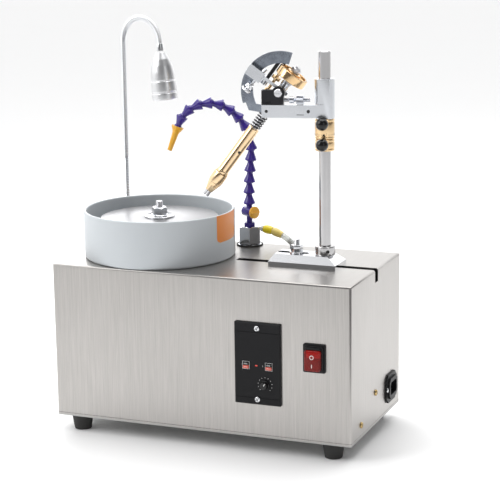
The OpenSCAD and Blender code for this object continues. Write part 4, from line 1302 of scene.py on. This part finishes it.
        # Painted shade: thin dark discs stand for the shade inside each index hole.
        holes = Model()
        for index in range(24):
            at = turn(15 * index)
            holes.rod(1.1, 22.9, 23.05, 0.04, 16, at @ move(13.2, 0, 0))
            holes.rod(0.9, 0, 0.12, 0.04, 12, at @ move(r - 1.6, 0, 26.42))
        self.add(holes, "index_wheel_hole_shade", "dark_mark_and_shade", Body.QUILL, self.places.quill)


# Coolant line

SOCKET = ((0, 5.6), (3.6, 4.4), (5.5, 1.4), (5.7, -1.0))


@dataclass
class Coolant(Assembly):
    """The hose stand, the valve and the line of ball joints."""

    pitch: float = 14.5
    ball_r: float = 5.4
    column: int = 6
    bends: tuple[int, ...] = (0, -2, -2, 0, 0, 10, 16, 13, 11, 13, 18, 19, 19, 20, 20)
    nozzle_turn: float = 160.0
    hose_bend: float = 62.0
    hose_x: float = 17.0
    hose_z: float = 243.0

    def make(self) -> None:
        """Builds the coolant supply."""
        self.copies(("hose_stand", "chrome", Body.CASE, 0.0005),
                    ("water_inlet", "ground_steel", Body.CASE, 0.0002))
        self.valve()
        self.links("coolant_column", "line_column", 0, self.column)
        self.links("coolant_arch", "line_arch", self.column, len(self.bends))
        self.nozzle()
        self.hose()

    def joint_at(self, index: int) -> Matrix:
        """The frame of one ball, before it is turned."""
        heading = Vector(self.places.axis("line_bend")).cross(Vector(UP))
        ball = Vector(self.places.point("line_swivel"))
        total = 0.0
        for bend in self.bends[:index]:
            total += bend
            angle = math.radians(total)
            step = heading * math.sin(angle) + Vector(UP) * math.cos(angle)
            ball += step * self.pitch * MM
        return place(ball, UP, self.places.axis("line_bend"))

    def link(self, model: Model, at: Matrix) -> None:
        """One link: a flared socket below, a waist and a ball above."""
        ball = arc(self.ball_r, -44, 84, 12, self.pitch)
        model.lathe([*SOCKET, *soften([
            (5.9, -1.6), (7.4, -1.6), (7.75, -0.9), (7.6, 0.5), (6.9, 2.2), (4.7, 7.4),
            (4.1, 9.4), (3.9, 10.6)], 0.8, 3), *ball, (0, self.pitch + self.ball_r)], 40,
            at=at)

    def links(self, node: str, body: str, first: int, after: int) -> None:
        """A run of links as one piece."""
        model = Model()
        for index in range(first, after):
            total = sum(self.bends[:index + 1])
            self.link(model, self.joint_at(index) @ turn(total, "Y"))
        bmesh.ops.recalc_face_normals(model.bm, faces=model.bm.faces)
        model.finish(node + "_links", self.finishes["purple_plastic"], body, node=node)

    def nozzle(self) -> None:
        """The flared nozzle."""
        model = Model()
        model.lathe([*SOCKET, *soften([
            (5.9, -1.6), (8.0, -1.6), (8.2, -0.6), (7.8, 0.6), (4.6, 7), (4.2, 9), (3.1, 32),
            (2.1, 32), (1.9, 24)], 0.6, 3), (0, 22)], 48)
        self.add(model, "coolant_nozzle_cone", "yellow_plastic", "line_nozzle",
                 self.joint_at(len(self.bends)) @ turn(self.nozzle_turn, "Y"),
                 node="coolant_nozzle")

    def valve(self) -> None:
        """The valve body, its knob and its nub."""
        base = heights("coolant_valve")[0]
        ball = self.places.point("line_swivel")[2] / MM
        body = Model()
        body.prism(hexagon(7.85, -8), base + 0.02, base + 4.5, 0.4)
        body.lathe([(0, base + 4), (3.9, base + 4), (3.9, ball - 4.2),
                    *arc(self.ball_r, -42, 86, 12, ball), (0, ball + self.ball_r)], 40)
        barrel = self.places.stand.inverted() @ self.places.valve
        body.hoop([(3.02, -9), (6.75, -9), (6.75, 8), (3.02, 8)], 0.6, 3, 48, barrel)
        self.add(body, "coolant_valve_body", "purple_plastic", Body.CASE,
                 self.places.stand, node="coolant_valve")
        knob = Model()
        made = knob.lathe(soften([(0, 8.3), (8, 8.3), (8, 11.5), (0, 11.5)], 0.6), 144)
        knob.flute(made, 24, 0.4, 7.0, 8.6, 11.2)
        knob.rod(2.95, -10, 8.4, 0.2)
        knob.block((2.4, 14.4, 1.8), 0.4, move(0, 0, 11.9))
        self.add(knob, "valve_knob_disc", "yellow_plastic", "valve_knob", self.places.valve,
                 node="valve_knob")
        nub = Model()
        nub.rod(2.9, -12.5, -9.3, 0.7)
        self.add(nub, "valve_nub", "orange_plastic", "valve_knob", self.places.valve)

    def hose(self) -> None:
        """The supply hose with its sleeve, and the stand's gasket."""
        model = Model()
        ring = model.circle(4.0, 24, self.hose_bend)
        edges = [model.bm.edges.new(pair) for pair in zip(ring, ring[1:] + ring[:1])]
        bmesh.ops.spin(model.bm, geom=ring + edges, cent=(0, 0, 0), axis=UP,
                       angle=math.radians(45), steps=24)
        bmesh.ops.holes_fill(model.bm, edges=[e for e in model.bm.edges if e.is_boundary])
        foot = move(self.hose_x, 0, self.hose_z - self.hose_bend)
        at = self.places.stand @ foot @ turn(-90, "X") @ turn(-90)
        self.add(model, "supply_hose_tube", "clear_hose", Body.CASE, at, node="supply_hose",
                 smooth=60.0)
        for name, colour, radii, start, stop in (
                ("hose_sleeve", "bright_yellow", (4.6, 5.7, 5.6, 4.9), 3.0, 14.5),
                ("hose_sleeve_end", "pale_yellow", (4.8, 5.7, 5.1, 4.3), 14.5, 28.0)):
            sleeve = Model()
            half = math.radians(stop - start) / 2
            tall = self.hose_bend * math.sin(half)
            shape = [(r, tall * k) for r, k in zip(radii, (-1.0, -0.4, 0.3, 1.0))]
            sleeve.lathe([(0, -tall), *soften(shape, 3.0, 5), (0, tall)], 48,
                         at=turn((start + stop) / 2)
                         @ move(self.hose_bend * math.cos(half), 0, 0) @ turn(-90, "X"))
            self.add(sleeve, name, colour, Body.CASE, at)
        gasket = Model()
        low = heights("hose_stand")[0]
        gasket.hoop([(15.9, low), (17.6, low), (17.6, low + 1.9), (15.9, low + 1.9)], 0.6, 3, 72)
        self.add(gasket, "stand_gasket", "black_rubber", Body.CASE, self.places.stand)


# Lamp

@dataclass
class Lamp(Assembly):
    """The gooseneck lamp."""

    neck_r: float = 4.0
    split: float = 330.0
    bend_start: float = 485.0
    bend_r: float = 33.0
    tilt: float = 6.0
    head_r: float = 16.8
    head_l: float = 62.0
    pitch: float = 2.2
    rib: float = 0.6
    gap: float = 0.35

    def make(self) -> None:
        """Builds the lamp."""
        self.copy("lamp_base", "chrome", Body.CASE, 0.0004)
        self.neck()
        self.arch()
        self.head()

    def neck(self) -> None:
        """The lower gooseneck, wound from wire."""
        low = heights("lamp_neck")[0]
        model = Model()
        top = self.split - self.gap
        model.lathe([(0, low), *ribbed(self.neck_r, low, top, self.pitch, self.rib), (0, top)],
                    28)
        model.lathe([(0, self.split - 1), *arc(3.3, 0, 86, 8, self.split),
                     (0, self.split + 3.3)], 20)
        self.add(model, "lamp_neck_wound", "gooseneck_chrome", "lamp_stem", self.places.lamp,
                 node="lamp_neck")

    def bent(self, model: Model) -> None:
        """Bends a straight neck along its arch."""
        end = math.radians(180 - self.tilt)
        for v in model.bm.verts:
            angle = (v.co.z - self.bend_start) / self.bend_r
            if angle <= 0:
                continue
            over = max(0.0, angle - end) * self.bend_r
            angle = min(angle, end)
            reach = self.bend_r - v.co.x
            v.co.x = self.bend_r - reach * math.cos(angle) + over * math.sin(angle)
            v.co.z = self.bend_start + reach * math.sin(angle) + over * math.cos(angle)

    def arch(self) -> None:
        """The upper gooseneck with its arch and its ferrules."""
        length = math.radians(180 - self.tilt) * self.bend_r
        top = self.bend_start + length
        start = self.split + self.gap
        model = Model()
        model.lathe([(3.4, start + 6), (3.4, start),
                     *ribbed(self.neck_r, start, top + 3, self.pitch, self.rib),
                     (4.35, top + 3.6), (4.35, top + 11.8), (3.2, top + 12), (0, top + 12)],
                    28)
        self.bent(model)
        self.add(model, "lamp_arch_wound", "gooseneck_chrome", "lamp_arch", self.places.lamp,
                 node="lamp_arch", smooth=60.0)

    def head(self) -> None:
        """The bullet-shaped head with its grooves, rim, button and lens."""
        tilt = math.radians(self.tilt)
        lamp = self.places.lamp.to_3x3().normalized()
        up = lamp @ Vector((-math.sin(tilt), 0, math.cos(tilt)))
        at = place(self.places.point("lamp_tilt"), up, self.places.axis("neck_flex"))
        r, low = self.head_r, -self.head_l
        outer = [(4.8, 0.4), (6.0, 0.2), (7.6, -3), (11, -9), (13.8, -17), (15.4, -26),
                 (16, -36), (15.4, -36.5), (15.4, -37.5), (16.2, -38), (r, -51),
                 (16.1, -51.5), (16.1, -53.1), (r, -53.6), (r, low + 1), (r - 1, low),
                 (r - 1.8, low), (r - 2.3, low + 1.5)]
        model = Model()
        model.lathe([*soften(outer, 0.9, 3), (12.5, low + 9), (0, low + 9)], 96)
        model.lathe([(0, -1.2), (4.9, -1.2), (4.9, -0.6), (0, -0.6)], 40)
        self.add(model, "lamp_head_turned", "aluminium", "lamp_head", at, node="lamp_head")
        lens = Model()
        lens.lathe(soften([(0, low + 4), (r - 2.25, low + 4), (r - 2.25, low + 8),
                           (0, low + 8.6)], 0.3), 64)
        self.add(lens, "lamp_lens_glass", "lamp_lens", "lamp_head", at, node="lamp_lens")
        button = Model()
        button.rod(3.0, 13.6, 16.4, 0.9, at=move(0, 0, -22) @ turn(165) @ turn(90, "Y"))
        self.add(button, "lamp_button", "chrome", "lamp_head", at)


# Camera, floor and light

@dataclass
class Studio:
    """A plain pale floor, soft lamps and the camera."""

    eye: tuple[float, float, float] = (0.8217, -1.9769, 0.70175)
    azimuth: float = 21.87
    elevation: float = 12.44
    roll: float = -0.75
    lens: float = 123.04
    ahead: tuple[float, float, float] = (-0.7, 0.66, 0.26)
    dim: tuple[float, float, float] = (0.17, 0.17, 0.175)
    bright: tuple[float, float, float] = (1.45, 1.45, 1.45)
    fade: tuple[float, float] = (-0.2, 0.45)
    half_floor: float = 14.0

    def make(self) -> None:
        """Sets up the studio."""
        self.camera()
        self.floor()
        self.world()
        for name, eye, height, size, power in (
                ("key", (-1.4, -1.4, 1.7), 0.2, (0.9, 1.5), 16.0),
                ("fill", (1.7, -1.1, 1.0), 0.2, (0.4, 1.4), 3.0),
                ("top", (0.1, 0.3, 2.1), 0.2, (1.8, 1.4), 22.0),
                ("rim", (-1.2, 1.6, 1.2), 0.3, (0.8, 1.2), 8.0)):
            self.lamp(name, eye, (0.0, 0.0, height), size, power)
        bpy.context.scene.view_settings.view_transform = "Standard"

    def camera(self) -> None:
        """The camera at its viewing angle."""
        az, el, roll = (math.radians(a) for a in (self.azimuth, self.elevation, self.roll))
        ahead = Vector((-math.sin(az) * math.cos(el), math.cos(az) * math.cos(el),
                        -math.sin(el)))
        right = Vector((math.cos(az), math.sin(az), 0.0))
        above = right.cross(ahead)
        across = right * math.cos(roll) + above * math.sin(roll)
        upright = -right * math.sin(roll) + above * math.cos(roll)
        data = bpy.data.cameras.new("camera")
        data.sensor_width = 36.0
        data.lens = self.lens
        camera = bpy.data.objects.new("camera", data)
        matrix = Matrix((across, upright, -ahead)).transposed().to_4x4()
        matrix.translation = Vector(self.eye)
        camera.matrix_world = matrix
        bpy.context.scene.collection.objects.link(camera)
        bpy.context.scene.camera = camera

    def floor(self) -> None:
        """A wide pale floor."""
        mesh = bpy.data.meshes.new("floor")
        bm = bmesh.new()
        bmesh.ops.create_grid(bm, x_segments=1, y_segments=1,
                              size=self.half_floor)
        bm.to_mesh(mesh)
        bm.free()
        graph = Graph("floor")
        cloud = graph.noise(graph.coordinates(), 3.0, 2.0)
        graph.surface(Base_Color=graph.mix(cloud, (0.98, 0.98, 0.98), (0.97, 0.97, 0.97)),
                      Roughness=0.55)
        mesh.materials.append(graph.material)
        floor = bpy.data.objects.new("floor", mesh)
        bpy.context.scene.collection.objects.link(floor)

    def world(self) -> None:
        """A surround that is white behind the machine and dim on the viewer's side."""
        graph = Surround("surround")
        ahead = graph.node("ShaderNodeVectorMath", {"operation": "DOT_PRODUCT"},
                           {0: graph.coordinates(), 1: self.ahead}, output="Value")
        blend = graph.node("ShaderNodeMapRange", None, {
            0: ahead, "From Min": self.fade[0], "From Max": self.fade[1]})
        graph.surface(Color=graph.mix(blend, self.dim, self.bright), Strength=1.0)
        bpy.context.scene.world = graph.world

    def lamp(self, name: str, eye: tuple, target: tuple, size: tuple, power: float) -> None:
        """A soft area lamp.

        Args:
            name: its name.
            eye: its place in metres.
            target: the point that it faces.
            size: its width and height in metres.
            power: its power in watts.
        """
        data = bpy.data.lights.new(name, "AREA")
        data.shape = "RECTANGLE"
        data.size, data.size_y = size
        data.energy = power
        lamp = bpy.data.objects.new(name, data)
        aim = Vector(target) - Vector(eye)
        lamp.matrix_world = (Matrix.Translation(eye)
                             @ aim.to_track_quat("-Z", "Y").to_matrix().to_4x4())
        bpy.context.scene.collection.objects.link(lamp)


def main() -> None:
    """Builds every part of the scene in order."""
    logging.basicConfig(level=logging.INFO, format="%(name)s: %(message)s")
    places = Places()
    finishes = Finishes(places.axis("quill_spin"), places.axis("adjust_turn"),
                        places.point("spindle_spin"))
    Studio().make()
    for assembly in (Case, Controls, LapUnit, Carriage, Head, Coolant, Lamp):
        assembly(finishes, places).make()
        LOG.info("%s is done", assembly.__name__)


if __name__ == "__main__":
    main()
